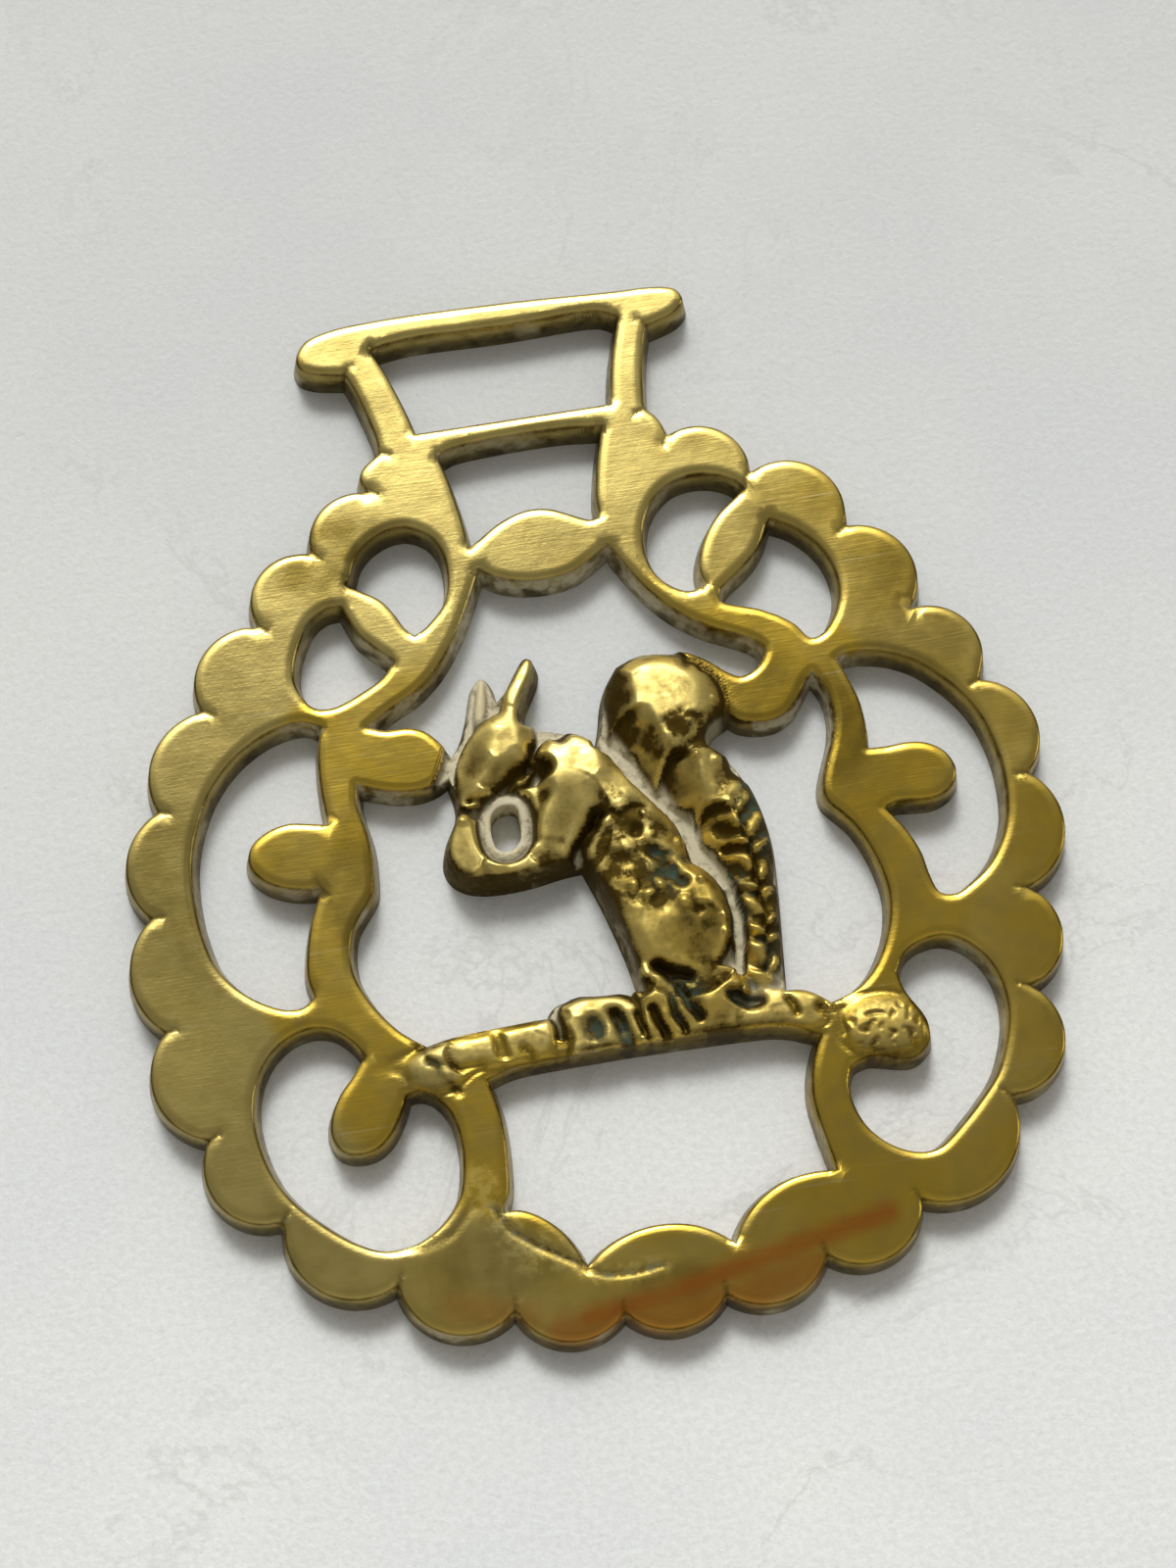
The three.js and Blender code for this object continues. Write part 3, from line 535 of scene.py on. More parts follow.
def top_height(places):
    """Height of the metal away from its edges."""
    x, y = places.T
    in_pocket = ease(0.5 + pocket.distance(places) / POCKET_WALL)
    swell = SWELL * waves(x, y, SWELL_SIZE, 3.5) + 0.3 * SWELL * waves(x, y, SWELL_SIZE / 3, 9.5)
    ground = PLATE - SWELL + swell + (WEB - PLATE) * in_pocket
    for path, width, depth in creases:
        ground = ground - depth * groove(x, y, path, width)
    raised = carve(x, y, relief(x, y))
    both = np.logaddexp(GROUND_SHARPNESS * ground, GROUND_SHARPNESS * raised) / GROUND_SHARPNESS
    fillet = math.log(2) / GROUND_SHARPNESS
    return both - fillet * np.exp(-GROUND_SHARPNESS * (raised - ground) ** 2)


def casting_height(places):
    """Height of the surface, from the wall's foot over the worn edge to the top."""
    to_back = np.abs(back.distance(places))
    to_front = front.distance(places)
    top = top_height(places)
    share = to_back / np.maximum(to_back + np.maximum(-to_front, 0), 1e-9)
    wall = share * np.minimum(top, WALL)
    rise = np.maximum(top - WALL, 0)
    reach = EDGE_REACH + RELIEF_REACH * np.maximum(top - PLATE, 0)
    crown = EDGE_CROWN + RELIEF_CROWN * np.clip(top - PLATE, 0, 2)
    rounding = 1 - (1 - np.clip(to_front / reach, 0, 1)) ** crown
    worn = WEAR_DROP * np.clip(1 - (to_front - EDGE_REACH) / WEAR_REACH, 0, 1) ** WEAR_CROWN
    face = np.minimum(top, WALL) + rise * rounding - worn * np.clip(to_front / EDGE_REACH, 0, 1)
    return np.where(to_front < 0, wall, face)


def grid_points(west, east, south, north, step):
    """Rows of points, every second one shifted by half a step."""
    xs = np.arange(west, east, step)
    ys = np.arange(south, north, step * ROW_STEP)
    x, y = np.meshgrid(xs, ys)
    x = x + (np.arange(len(ys)) % 2)[:, None] * step / 2
    return np.column_stack([x.ravel(), y.ravel()])


RELIEF_AREA = (-19.0, 25.0, -19.5, 20.0)  # west, east, south and north ends of the finer grid
VALLEY_TURN = 0.5     # an outline turns by at least this in a valley, as the sine of the angle
VALLEY_REACH = 3      # measured this many points before and after
CREASE_ROWS = (-1.8, -0.9, 0, 0.9, 1.8)  # rows of points along a crease, in its half widths
# How far points keep from the outline: on the plate, on the relief, on creases, and on the wall.
PLATE_GAP, RELIEF_GAP, CREASE_GAP, WALL_GAP = 1.0, 0.12, 0.1, 0.05
EDGE_BAND = 0.14      # on the relief the edge's own points reach this far in


def valley_creases():
    """Short lines that run inwards from the valleys of the outer edge."""
    outer = max(front.loops, key=len)
    length, width, depth = VALLEY_CREASE
    before = unit(outer - np.roll(outer, VALLEY_REACH, 0))
    after = unit(np.roll(outer, -VALLEY_REACH, 0) - outer)
    turn = cross(before, after)
    creases = []
    for i in np.flatnonzero(turn < -VALLEY_TURN):
        if turn[i] == turn[np.arange(i - 4, i + 5) % len(outer)].min():
            inwards = unit(np.array([-(before + after)[i, 1], (before + after)[i, 0]]))
            creases.append(([tuple(outer[i]), tuple(outer[i] + length * inwards)], width, depth))
    return creases


def crease_points(creases):
    """Rows of points along the creases, so that the mesh can follow them."""
    rows = []
    for path, width, _ in creases:
        line = smooth_curve(np.array(path, float), 0.3) if len(path) > 2 else np.linspace(*np.array(path), 6)
        way = unit(np.gradient(line, axis=0))
        sideways = np.column_stack([-way[:, 1], way[:, 0]])
        rows += [line + offset * width * sideways for offset in CREASE_ROWS]
    return np.vstack(rows)


def in_relief_area(places):
    west, east, south, north = RELIEF_AREA
    x, y = places.T
    return (x > west) & (x < east) & (y > south) & (y < north)


def casting_mesh():
    """Points of the casting as seen from above, and triangles of its upper surface and walls."""
    edge_points = [(back.points + front.points) / 2]
    for distance in RING_INSETS:
        edge_points += [inset(loop, distance) for loop in front.loops]
    edge_points = np.vstack(edge_points)
    edge_points = edge_points[~in_relief_area(edge_points) | (front.distance(edge_points) < EDGE_BAND)]
    (west, south), (east, north) = back.points.min(0), back.points.max(0)
    coarse = grid_points(west, east, south, north, PLATE_STEP)
    coarse = coarse[~in_relief_area(coarse)]
    coarse = coarse[front.distance(coarse) > PLATE_GAP]
    fine = grid_points(*RELIEF_AREA, RELIEF_STEP)
    fine = fine[front.distance(fine) > RELIEF_GAP]
    lines = crease_points(creases)
    lines = lines[~in_relief_area(lines) & (front.distance(lines) > CREASE_GAP)]
    inner = np.vstack([edge_points, coarse, fine, lines])
    inner = inner[back.distance(inner) > WALL_GAP]
    points = np.vstack([back.points, front.points, inner])
    edges = []
    for contours, start in ((back, 0), (front, len(back.points))):
        edges += [(start + i, start + int(j)) for i, j in enumerate(contours.following)]
    edges = [(a, b) for a, b in edges if np.linalg.norm(points[a] - points[b]) > 1e-4]
    found = delaunay_2d_cdt([Vector(p) for p in points.tolist()], edges, [], 0, 1e-4, False)
    flat = np.array([p[:] for p in found[0]])
    triangles = np.array([face for face in found[2]])
    middle = flat[triangles].mean(1)
    triangles = triangles[back.distance(middle) > 0]
    return flat, triangles


def back_triangles(flat, triangles):
    """Triangles of the flat back, spanned between the points of its rim alone."""
    sides = {tuple(side) for a, b, c in triangles.tolist() for side in ((a, b), (b, c), (c, a))}
    rim_edges = [(a, b) for a, b in sides if (b, a) not in sides]
    rim_points = sorted({a for edge in rim_edges for a in edge})
    place_of = {index: place for place, index in enumerate(rim_points)}
    edges = [(place_of[a], place_of[b]) for a, b in rim_edges]
    found = delaunay_2d_cdt([Vector(flat[i]) for i in rim_points], edges, [], 0, 1e-5, True)
    origin = np.array([rim_points[ids[0]] for ids in found[3]])
    result = origin[np.array([face for face in found[2]])]
    middle = flat[result].mean(1)
    return result[back.distance(middle) > 0][:, ::-1]


def is_small(loop):
    return len(loop) * OUTLINE_STEP < SMALL_HOLE


def turned(loop, anticlockwise):
    """The loop, running in the given sense."""
    area = cross(loop, np.roll(loop, -1, 0)).sum()
    return loop if (area > 0) == anticlockwise else loop[::-1]


back_loops = [smooth_outline(loop) for loop in back_outlines(frame["nodes"]["brass_casting"])]
face_hole = turned(smooth_outline(np.array(FACE_HOLE), keep_corners=False), anticlockwise=False)
back = Contours([face_hole if is_small(loop) else loop for loop in back_loops])
face_edge = Contours([face_hole])
front = Contours([inset(loop, WEB_DRAFT if is_small(loop) else DRAFT) for loop in back.loops])
pocket = Contours([turned(smooth_outline(np.array(SQUIRREL_GROUND)), anticlockwise=True)])
creases = PLATE_CREASES + valley_creases()


# ---- Where the brass is stained, tarnished, green or pale, with painted shade and reflections ----

# Stains on the plate, and below other spots: middle, half-lengths, strength.
STAINS = [
    ((-17, 30.5), (6.5, 4), 0.7), ((29.5, 18.5), (5.5, 7.5), 0.4), ((20.6, 9.4), (4, 4.6), 0.5),
    ((16, 13.6), (3.6, 3.4), 0.4), ((-12.6, -28.6), (5.6, 3.2), 0.4), ((-19.6, 1.6), (2.6, 6), 0.5),
    ((-22.6, 5.4), (3.4, 2.4), 0.3), ((20.5, 28.5), (4, 4), 0.2), ((-33, 6), (4, 8), 0.2),
    ((0, -33), (3.4, 1.6), 0.5), ((-26, -24), (5, 4), 0.2), ((33, 14), (3, 3), 0.2),
]
# Painted orange reflection in bands low on the plate: points, half width, strength.
ORANGE_REFLECTION_BANDS = [
    ([(-7, -34.6), (-1, -33.9), (4, -32.9), (10, -31.7), (17.5, -30.4)], 0.9, 0.9),
    ([(-9, -35.4), (-2, -35.6), (5, -35), (11, -33.6)], 1.5, 0.65),
    ([(-17, -32), (-11.5, -33.6)], 1.2, 0.35),
]
# Thick tarnish, and painted shade on sides that face away from the light.
PATINA_AND_SHADE_PATCHES = [
    ((-8.7, 11.6), (1.9, 3.6), 0.65), ((-5.6, 9.6), (2.8, 1.4), 0.6), ((3.4, 14), (1.7, 4.6), 0.8),
    ((11.4, 14.4), (2.6, 3.4), 0.45), ((-9.5, -12.9), (5.4, 1.7), 0.5), ((-1.4, -12.4), (4.6, 2), 0.6),
    ((12.8, -13.8), (4.4, 1.6), 0.55), ((20, -16), (4.6, 3.2), 0.55), ((-15.4, -13.6), (3, 2.4), 0.45),
    ((-3, 4.4), (3, 4), 0.45), ((8, -5.6), (2.6, 4.6), 0.55), ((-10.4, 2.8), (2.4, 1.8), 0.45),
    ((2, 2.4), (3.4, 6), 0.45), ((12, 0), (2.6, 10.6), 0.5), ((4.6, -1.6), (3.4, 2), 0.3),
    ((8.6, 10.6), (3.8, 1.8), 0.4), ((7.6, 8.6), (3.6, 2.4), 0.45), ((3.6, -10.6), (4.4, 2.2), 0.4),
    ((-5.5, 11.8), (2, 2), 0.25),
]
# Green corrosion.
GREEN_PATCHES = [
    ((12.9, 3.4), (1.6, 2.6), 0.9), ((13.2, 0.8), (1.2, 2), 0.7), ((10.6, -3.4), (1.2, 2.6), 0.9),
    ((5.2, -0.7), (1.7, 2.3), 1), ((-9, -29), (3.6, 2), 0.6), ((-3.2, -31.4), (3.4, 0.7), 0.9),
    ((-11.9, -26.6), (1.4, 2.4), 0.7), ((-2.6, -12.4), (1.2, 1.2), 0.9), ((-13.4, -23.6), (1.4, 2.6), 0.9),
    ((4.8, -11), (1.8, 2.2), 0.8), ((-0.6, -13), (0.9, 1.8), 0.8), ((9.4, -11.6), (2.2, 1.2), 0.7),
    ((2.3, 14.8), (0.9, 2.6), 0.5), ((12, -8.8), (1.4, 1.8), 0.6), ((-16.4, -13.6), (2, 1.2), 0.5),
]
# Pale polish that has dried.
RESIDUE_PATCHES = [
    ((-7.6, 16.8), (1.2, 2.6), 0.8), ((-5.6, 16.6), (1.4, 1.2), 0.7),
    ((-3.4, 13.4), (1.2, 1), 0.7), ((10.8, 10.6), (1.4, 1.6), 0.8), ((0.6, -8.8), (1.2, 1), 0.6),
    ((11.6, -10.9), (2, 1), 0.7), ((-10.2, 12), (0.8, 1.6), 0.6),
]
MASK_STEP = 0.2      # spacing of the grid on which slopes and hollows are measured
SOFTNESS = 0.15      # how far they are blurred
# Painted shade darkens the relief's steep sides, between these slopes:
STEEP = (0.8, 1.6)   # slopes at which a flank begins to be dark and is fully so
# Hollows: how far round a place counts, and how deep a full hollow lies there.
NARROW, WIDE = (0.45, 0.22), (1.3, 0.8)


def blurred(values, weights, radius):
    """Weighted Gaussian blur of a grid, with the radius in millimetres."""
    reach = int(3 * radius / MASK_STEP)
    kernel = np.exp(-0.5 * (np.arange(-reach, reach + 1) * MASK_STEP / radius) ** 2)
    results = []
    for grid in (values * weights, weights):
        for axis in (0, 1):
            grid = sum(k * np.roll(grid, shift - reach, axis) for shift, k in enumerate(kernel))
        results.append(grid)
    return results[0] / np.maximum(results[1], 1e-6)


def hollowness(flat):
    """Steepness of each place, and how deep it lies between its neighbours, near and further off."""
    low = flat.min(0) - 2
    size = np.ceil((flat.max(0) + 2 - low) / MASK_STEP).astype(int)
    x = low[0] + MASK_STEP * np.arange(size[0])
    y = low[1] + MASK_STEP * np.arange(size[1])
    places = np.stack(np.meshgrid(x, y, indexing="ij"), -1).reshape(-1, 2)
    metal = front.distance(places) > 0
    height = np.zeros(len(places))
    height[metal] = top_height(places[metal])
    height, metal = height.reshape(size), metal.reshape(size).astype(float)
    everywhere = np.ones_like(metal)
    slope = np.hypot(*np.gradient(blurred(height, metal, MASK_STEP), MASK_STEP))
    steep = 0.8 * ramp(slope, *STEEP) * (blurred(metal, everywhere, MASK_STEP) > 0.9)
    grids = [blurred(steep, everywhere, SOFTNESS)]
    for radius, depth in (NARROW, WIDE):
        hollow = (blurred(height, metal, radius) - height) * metal
        grids.append(np.clip(blurred(hollow, everywhere, SOFTNESS) / depth, -1, 1))
    at = np.clip(np.round((flat - low) / MASK_STEP).astype(int), 0, size - 1)
    return [grid[at[:, 0], at[:, 1]] for grid in grids]


def casting_masks(flat, height):
    """Values at each point: mellow, stained, dark, green or pale brass, and painted shade and reflections.
    """
    x, y = flat.T
    above_plate = height - PLATE
    to_front, to_pocket, to_hole = (edge.distance(flat) for edge in (front, pocket, face_edge))
    steep, narrow, wide = hollowness(flat)
    wall = ramp(to_front, 0.08, -0.08)
    on_relief = np.maximum(ramp(above_plate, 0.05, 0.3), ramp(to_pocket, -0.6, 0.6))
    inside_ring = ramp(np.linalg.norm(flat, axis=1), 30, 27.5)
    mellow = np.clip((x - 0.6 * y) / 90, -0.3, 0.12) - 0.15 * on_relief
    mellow = mellow + 0.5 * inside_ring * (1 - on_relief) * ramp(y, 25, 16)
    near_edge = ramp(to_front, 0.5, 0) * (to_front > 0) * ramp(above_plate, 0, 0.6)
    web = on_relief * ramp(height, 2.6, 2.0) * (to_front > 0)
    dried = spots(x, y, RESIDUE_PATCHES) * ramp(height, 3.4, 2.6)
    round_hole = ramp(to_hole, 1.15, 0.75) * (to_hole > 0)
    # Creases darken the brass, as tarnish and painted shade.
    lines = [min(depth / 0.1, 1) * groove(x, y, path, width) for path, width, depth in creases]
    reflection_bands = [strength * groove(x, y, path, width, 3) for path, width, strength in ORANGE_REFLECTION_BANDS]
    return {
        "wall": wall,
        # pale on the upper inner walls: painted reflection of the table, and dried polish
        "polish_and_reflection_on_walls": wall * inside_ring * ramp(y, 1, 10) * (1 - 0.9 * (to_pocket > -1.5)),
        "mellow": mellow,
        # a painted orange reflection low on the plate
        "orange_reflection": np.max(reflection_bands, 0),
        "stain": spots(x, y, STAINS),
        # thick tarnish and painted shade in patches on the relief
        "film": spots(x, y, PATINA_AND_SHADE_PATCHES) * on_relief,
        "line": np.max(lines, 0),
        # painted shade on the relief's steep sides and along its edges
        "flank": on_relief * np.maximum(steep, 0.7 * near_edge),
        # a dark line along every edge of the face: tarnish and painted shade
        "rim": ramp(np.abs(to_front - 0.03), 0.2, 0),
        "fur": spots(x, y, LUMPY, *LUMPS_FADE),
        # Hollows darken the brass, as tarnish and painted shade.
        "narrow_hollow": np.maximum(narrow, 0),
        "wide_hollow": np.maximum(wide, 0),
        "crest": np.maximum(-narrow, 0),
        "green": spots(x, y, GREEN_PATCHES),
        "residue": np.max([web, dried, round_hole], 0),
        "relief": on_relief,
    }


def build_casting():
    flat, triangles = casting_mesh()
    height = casting_height(flat)
    height[np.abs(back.distance(flat)) < 1e-3] = 0
    # The back uses the outline's own points, so that both sides close along the rim.
    faces = np.vstack([triangles, back_triangles(flat, triangles)])
    is_back = np.arange(len(faces)) >= len(triangles)
    mesh = bpy.data.meshes.new("casting")
    mesh.from_pydata((np.column_stack([flat + RING_CENTRE, height]) * MM).tolist(), [], faces.tolist())
    mesh.shade_smooth()
    mesh.polygons.foreach_set("use_smooth", ~is_back)
    masks = [(name, "POINT", values) for name, values in casting_masks(flat, height).items()]
    for name, domain, values in [*masks, ("underside", "FACE", is_back)]:
        mesh.attributes.new(name, "FLOAT", domain).data.foreach_set("value", values.astype(np.float32))
    piece = bpy.data.objects.new("casting", mesh)
    bpy.context.scene.collection.objects.link(piece)
    return piece


casting = build_casting()


# ---- Materials ----

class Shading:
    """The node tree of a material or a world, built one value at a time."""

    def __init__(self, owner, shader):
        owner.use_nodes = True
        self.nodes = owner.node_tree.nodes
        self.links = owner.node_tree.links
        self.shader = self.nodes[shader]
        self.places = self.nodes.new("ShaderNodeTexCoord").outputs

    def shade(self, name, value):
        self.put(self.shader.inputs[name], value)

    def put(self, socket, value):
        if isinstance(value, bpy.types.NodeSocket):
            self.links.new(value, socket)
        else:
            socket.default_value = value

    def mask(self, name):
        node = self.nodes.new("ShaderNodeAttribute")
        node.attribute_name = name
        return node.outputs["Fac"]

    def operate(self, kind, operation, *values):
        node = self.nodes.new(kind)
        node.operation = operation
        for socket, value in zip(node.inputs, values):
            self.put(socket, value)
        return node

    def math(self, operation, *values, clamp=False):
        node = self.operate("ShaderNodeMath", operation, *values)
        node.use_clamp = clamp
        return node.outputs[0]

    def plus(self, first, second, clamp=False):
        return self.math("ADD", first, second, clamp=clamp)

    def times(self, first, second, clamp=False):
        return self.math("MULTIPLY", first, second, clamp=clamp)

    def mapped(self, value, low, high, to_low=0.0, to_high=1.0, curve="SMOOTHSTEP"):
        """The value carried smoothly from the first range to the second."""
        node = self.nodes.new("ShaderNodeMapRange")
        node.interpolation_type = curve
        for name, number in (("From Min", low), ("From Max", high), ("To Min", to_low), ("To Max", to_high)):
            node.inputs[name].default_value = number
        self.links.new(value, node.inputs["Value"])
        return node.outputs["Result"]

    def noise(self, size_mm, detail=3.0, roughness=0.55, stretch=(1, 1, 1), turn=0.0, warp=0.0):
        """Noise with features about size_mm across, from 0 to 1 round 0.5."""
        mapping = self.nodes.new("ShaderNodeMapping")
        mapping.inputs["Rotation"].default_value = (0, 0, math.radians(turn))
        mapping.inputs["Scale"].default_value = [1 / (size_mm * MM) * s for s in stretch]
        self.put(mapping.inputs["Vector"], self.places["Object"])
        node = self.nodes.new("ShaderNodeTexNoise")
        node.inputs["Scale"].default_value = 1.0
        node.inputs["Detail"].default_value = detail
        node.inputs["Roughness"].default_value = roughness
        node.inputs["Distortion"].default_value = warp
        self.links.new(mapping.outputs["Vector"], node.inputs["Vector"])
        return node.outputs["Fac"]

    def mix(self, share, first, second):
        node = self.nodes.new("ShaderNodeMix")
        node.data_type = "RGBA"
        self.put(node.inputs["Factor"], share)
        for socket, colour in ((node.inputs[6], first), (node.inputs[7], second)):
            self.put(socket, colour if isinstance(colour, bpy.types.NodeSocket) else (*colour, 1))
        return node.outputs[2]

    def bump(self, height, distance_mm, normal=None):
        node = self.nodes.new("ShaderNodeBump")
        node.inputs["Distance"].default_value = distance_mm * MM
        self.links.new(height, node.inputs["Height"])
        if normal is not None:
            self.links.new(normal, node.inputs["Normal"])
        return node.outputs["Normal"]


POLISHED = (0.75, 0.61, 0.21)
MELLOW = (0.72, 0.503, 0.07)
MOTTLED = (0.51, 0.39, 0.12)
STAINED = (0.40, 0.29, 0.06)
DARK_STAIN = (0.24, 0.17, 0.03)
SCRATCHED = (0.85, 0.78, 0.50)
# Orange for a painted reflection.
REFLECTED_ORANGE = (0.68, 0.24, 0.04)
# Dark brown, for tarnish and for painted shade.
DARK_PATINA_AND_SHADE = (0.095, 0.063, 0.012)
GREEN = (0.05, 0.085, 0.06)
# Pale dried polish, also used for a painted reflection of the table on the walls.
PALE_POLISH_AND_REFLECTION = (0.66, 0.61, 0.45)


def polished_metal(s, cloud, mottle):
    """Brass, deeper yellow towards the right and bottom, with stains, fine scratches and painted orange
    reflection.
    """
    metal = s.mix(s.mapped(s.plus(cloud, s.mask("mellow")), 0.3, 0.8), POLISHED, MELLOW)
    metal = s.mix(s.mapped(mottle, 0.35, 0.7, 0.0, 0.4), metal, MOTTLED)
    spotted = s.noise(4.5, detail=5, roughness=0.7, warp=0.5)
    metal = s.mix(s.mapped(spotted, 0.56, 0.74, 0.0, 0.30), metal, STAINED)
    stain = s.times(s.mask("stain"), s.mapped(mottle, 0.3, 0.6, 0.7, 1.1))
    metal = s.mix(stain, metal, DARK_STAIN)
    scratches = s.noise(0.5, detail=2, stretch=(0.035, 1, 1), turn=62, warp=0.3)
    metal = s.mix(s.mapped(scratches, 0.66, 0.74, 0.0, 0.25), metal, SCRATCHED)
    # A painted orange reflection low on the plate.
    reflection_share = s.times(s.mask("orange_reflection"), s.mapped(mottle, 0.2, 0.6, 0.8, 1.0))
    return s.mix(reflection_share, metal, REFLECTED_ORANGE)


def tarnish_and_shade_share(s, hollow, mottle, blotch, ragged):
    """Tarnish and painted shade in hollows, creases, patches, walls and steep sides; tarnish on the fur."""
    darkenings = (
        ("relief", blotch, 0.35, 0.7, 0.12, 0.34),
        ("fur", blotch, 0.35, 0.62, 0.10, 0.75),
        # thick tarnish and painted shade in patches
        ("film", blotch, 0.2, 0.8, 1.0, 0.6),
        # tarnish and painted shade in creases
        ("line", ragged, 0.3, 0.6, 0.9, 0.4),
        # painted shade on the relief's steep sides
        ("flank", blotch, 0.3, 0.7, 0.95, 0.55),
        # tarnish and painted shade on the walls
        ("wall", mottle, 0.3, 0.7, 0.95, 0.6),
    )
    # tarnish and painted shade in hollows
    dark = hollow
    for mask, pattern, *ranges in darkenings:
        dark = s.plus(dark, s.times(s.mask(mask), s.mapped(pattern, *ranges)))
    dark = s.math("SUBTRACT", dark, s.mask("crest"))
    return s.times(dark, s.mapped(ragged, 0.25, 0.75, 0.8, 1.15), clamp=True)


def pale_polish_and_reflection_share(s, mottle, ragged):
    """Dried polish on the web and in patches on walls, plus painted table reflection on upper inner walls.
    """
    residue = s.times(s.mask("residue"), s.mapped(ragged, 0.3, 0.5, 0.55, 1.0))
    patchy = s.times(s.mask("wall"), s.mapped(s.noise(5.0), 0.54, 0.68, 0.0, 0.7))
    # A painted reflection of the pale table, with dried polish, on the upper inner walls.
    inner_wall = s.times(s.mask("polish_and_reflection_on_walls"), s.mapped(mottle, 0.3, 0.55))
    on_walls = s.times(s.math("MAXIMUM", patchy, inner_wall), s.mapped(ragged, 0.35, 0.55, 0.2, 0.9))
    return s.math("MAXIMUM", residue, on_walls, clamp=True)


def brass_material():
    """Polished brass with tarnish, green and dried polish where the cloth can't reach."""
    material = bpy.data.materials.new("worn_brass")
    s = Shading(material, "Principled BSDF")
    cloud = s.noise(14.0, detail=2)
    mottle = s.noise(2.2, roughness=0.5)
    blotch = s.noise(1.6, roughness=0.6)
    ragged = s.noise(0.8, detail=4, roughness=0.58)
    underside = s.mask("underside")
    hollow = s.plus(s.times(s.mask("narrow_hollow"), 1.1), s.times(s.mask("wide_hollow"), 0.8))

    # Tarnish and painted shade in hollows, creases, patches, on walls and steep sides.
    dark = tarnish_and_shade_share(s, hollow, mottle, blotch, ragged)
    colour = s.mix(dark, polished_metal(s, cloud, mottle), DARK_PATINA_AND_SHADE)
    green = s.times(s.mask("green"), s.mapped(ragged, 0.40, 0.60, 0.1, 1.0))
    green = s.times(green, s.plus(hollow, 0.45, clamp=True), clamp=True)
    colour = s.mix(green, colour, GREEN)
    # A dark line along every edge: tarnish and painted shade.
    outline = s.times(s.mask("rim"), s.mapped(blotch, 0.3, 0.6, 0.9, 0.5))
    colour = s.mix(outline, colour, DARK_PATINA_AND_SHADE)
    # Dried polish, and a painted reflection of the table on the upper inner walls.
    pale = pale_polish_and_reflection_share(s, mottle, ragged)
    s.shade("Base Color", s.mix(pale, colour, PALE_POLISH_AND_REFLECTION))

    dull = s.math("MAXIMUM", pale, s.times(green, 0.8))
    s.shade("Metallic", s.math("SUBTRACT", 1.0, s.times(dull, 0.95), clamp=True))
    rough = s.plus(s.mapped(cloud, 0.3, 0.7, 0.20, 0.15), s.times(dark, 0.22))
    rough = s.plus(rough, s.times(s.mask("relief"), s.mapped(ragged, 0.3, 0.6, 0.14, 0.34)))
    rough = s.plus(rough, s.times(dull, 0.4))
    s.shade("Roughness", s.plus(rough, s.times(underside, 0.25), clamp=True))

    as_cast = s.bump(s.noise(2.6, detail=2), 0.022)
    satin = s.times(s.noise(0.28), s.mapped(s.mask("mellow"), -0.3, 0.1, 1.0, 0.35))
    grain = s.bump(satin, 0.006, normal=as_cast)
    wiped = s.bump(s.noise(0.16, detail=1, stretch=(0.06, 1, 1), turn=25), 0.004, normal=grain)
    pitted = s.times(s.plus(s.mask("wall"), s.plus(hollow, underside)), ragged)
    s.shade("Normal", s.bump(pitted, 0.08, normal=wiped))
    return material


PLASTER = (0.86, 0.90, 0.95)
LIGHT_PLASTER = (0.93, 0.96, 0.99)
FAR_SHADE = (0.15, 0.16, 0.165)
VEIN = (0.42, 0.43, 0.44)
GRIT = (0.5, 0.51, 0.52)


def floor_material():
    """Pale plaster board with faint clouds, veins and grain, a little darker at its far side."""
    material = bpy.data.materials.new("pale_plaster")
    s = Shading(material, "Principled BSDF")
    cloud = s.noise(60.0, detail=5, roughness=0.6)
    grain = s.noise(0.5)
    speckle = s.noise(0.6, detail=5, roughness=0.8)
    ridge = s.noise(35.0, detail=6, roughness=0.62, warp=0.6)
    ridge = s.math("ABSOLUTE", s.math("SUBTRACT", ridge, 0.5))
    axes = s.nodes.new("ShaderNodeSeparateXYZ")
    s.put(axes.inputs[0], s.places["Object"])
    colour = s.mix(s.mapped(cloud, 0.35, 0.65), PLASTER, LIGHT_PLASTER)
    colour = s.mix(s.mapped(axes.outputs["Y"], -0.07, 0.06, 0.0, 0.25), colour, FAR_SHADE)
    veins = s.times(s.mapped(ridge, 0.0, 0.012, 1.0, 0.0), s.mapped(cloud, 0.45, 0.6, 0.0, 0.22))
    colour = s.mix(veins, colour, VEIN)
    colour = s.mix(s.mapped(grain, 0.3, 0.45, 0.12, 0.0), colour, GRIT)
    s.shade("Base Color", s.mix(s.mapped(speckle, 0.38, 0.62, 0.20, 0.0), colour, GRIT))
    s.shade("Roughness", 0.65)
    s.shade("Normal", s.bump(s.plus(grain, speckle), 0.04))
    return material


casting.data.materials.append(brass_material())
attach(casting, "root")
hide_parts("brass_casting")


# ---- Table, light and camera ----

TABLE_HALF = 1.2     # half its side, in metres
TABLE_GAP = 0.00002  # it lies a hair below the casting, so that their faces don't flicker


def build_floor():
    mesh = bpy.data.meshes.new("table")
    corners = [(x * TABLE_HALF, y * TABLE_HALF, 0) for x, y in ((-1, -1), (1, -1), (1, 1), (-1, 1))]
    mesh.from_pydata(corners, [], [(0, 1, 2, 3)])
    table = bpy.data.objects.new("table", mesh)
    table.location.z = -TABLE_GAP
    bpy.context.scene.collection.objects.link(table)
    table.data.materials.append(floor_material())


def direction(azimuth, elevation):
    """Unit vector; azimuth 0 is +Y and 90 is +X."""
    a, e = math.radians(azimuth), math.radians(elevation)
    return Vector((math.sin(a) * math.cos(e), math.cos(a) * math.cos(e), math.sin(e)))


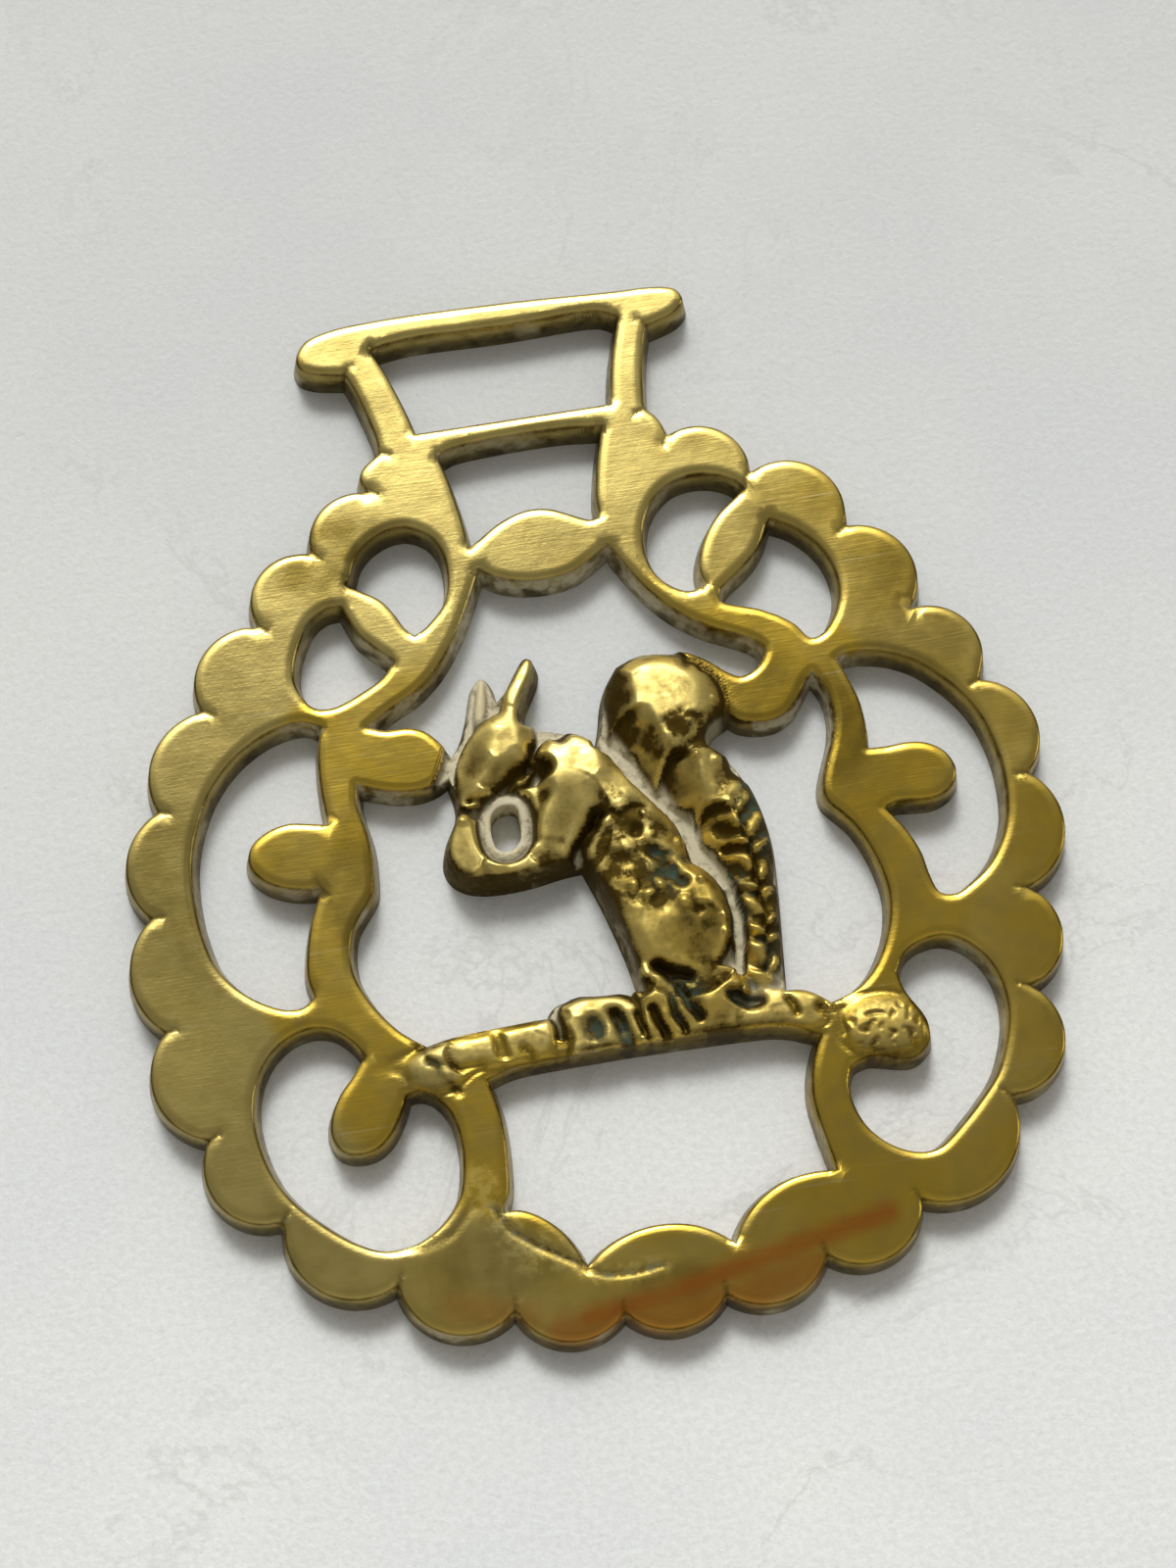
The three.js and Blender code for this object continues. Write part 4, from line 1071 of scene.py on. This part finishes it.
# Soft lobes of light in the room: direction, angular radius, softness, colour, strength.
LOBES = [
    (direction(0, 90), 58, 22, (1.0, 1.08, 1.15), 0.07),     # ceiling
    (direction(0, 47), 7.5, 3, (1.0, 0.985, 0.95), 26.0),    # window
    (direction(-1, 45), 21, 5, (1.0, 0.98, 0.90), 1.4),      # bright wall round it
    (direction(0, 18), 44, 20, (1.0, 0.97, 0.92), 0.6),      # and the room below it
    (direction(27, 69), 4, 3, (1.0, 1.0, 1.0), -0.09),       # dark door on the right
    (direction(180, 20), 50, 24, (1.0, 0.92, 0.78), 0.15),   # wall behind the camera
    (direction(90, 22), 7, 8, (1.0, 0.97, 0.9), 1.2),        # lamp on the right
]
AMBIENT = (0.15, 0.137, 0.108)  # light from everywhere


def build_room():
    world = bpy.data.worlds.new("room")
    bpy.context.scene.world = world
    s = Shading(world, "Background")
    total = AMBIENT
    for towards, radius, softness, tint, strength in LOBES:
        near = s.operate("ShaderNodeVectorMath", "DOT_PRODUCT", s.places["Generated"], towards)
        outer = math.cos(math.radians(radius + softness))
        inner = math.cos(math.radians(max(radius - softness, 0)))
        share = s.mapped(near.outputs["Value"], outer, inner, curve="SMOOTHERSTEP")
        light = [channel * strength for channel in tint]
        total = s.operate("ShaderNodeVectorMath", "MULTIPLY_ADD", share, light, total).outputs["Vector"]
    s.shade("Color", total)


CAMERA_LENS = 74.25
CAMERA_SENSOR = 36
CAMERA_PLACE = (-15.83, -68.39, 249.45)   # from the ring's centre on the plate's face
CAMERA_ANGLES = (17.331, -0.670, -9.827)  # degrees round X, Y and Z


def build_camera():
    camera = bpy.data.objects.new("camera", bpy.data.cameras.new("camera"))
    bpy.context.scene.collection.objects.link(camera)
    camera.data.lens = CAMERA_LENS
    camera.data.sensor_width = CAMERA_SENSOR
    camera.data.clip_start = 0.01
    camera.data.clip_end = 20
    place = Vector(CAMERA_PLACE) + Vector((*RING_CENTRE, PLATE))
    turn = Euler([math.radians(angle) for angle in CAMERA_ANGLES])
    camera.matrix_world = Matrix.LocRotScale(place * MM, turn, None)
    bpy.context.scene.camera = camera


build_floor()
build_room()
build_camera()
bpy.context.scene.view_settings.view_transform = "Standard"
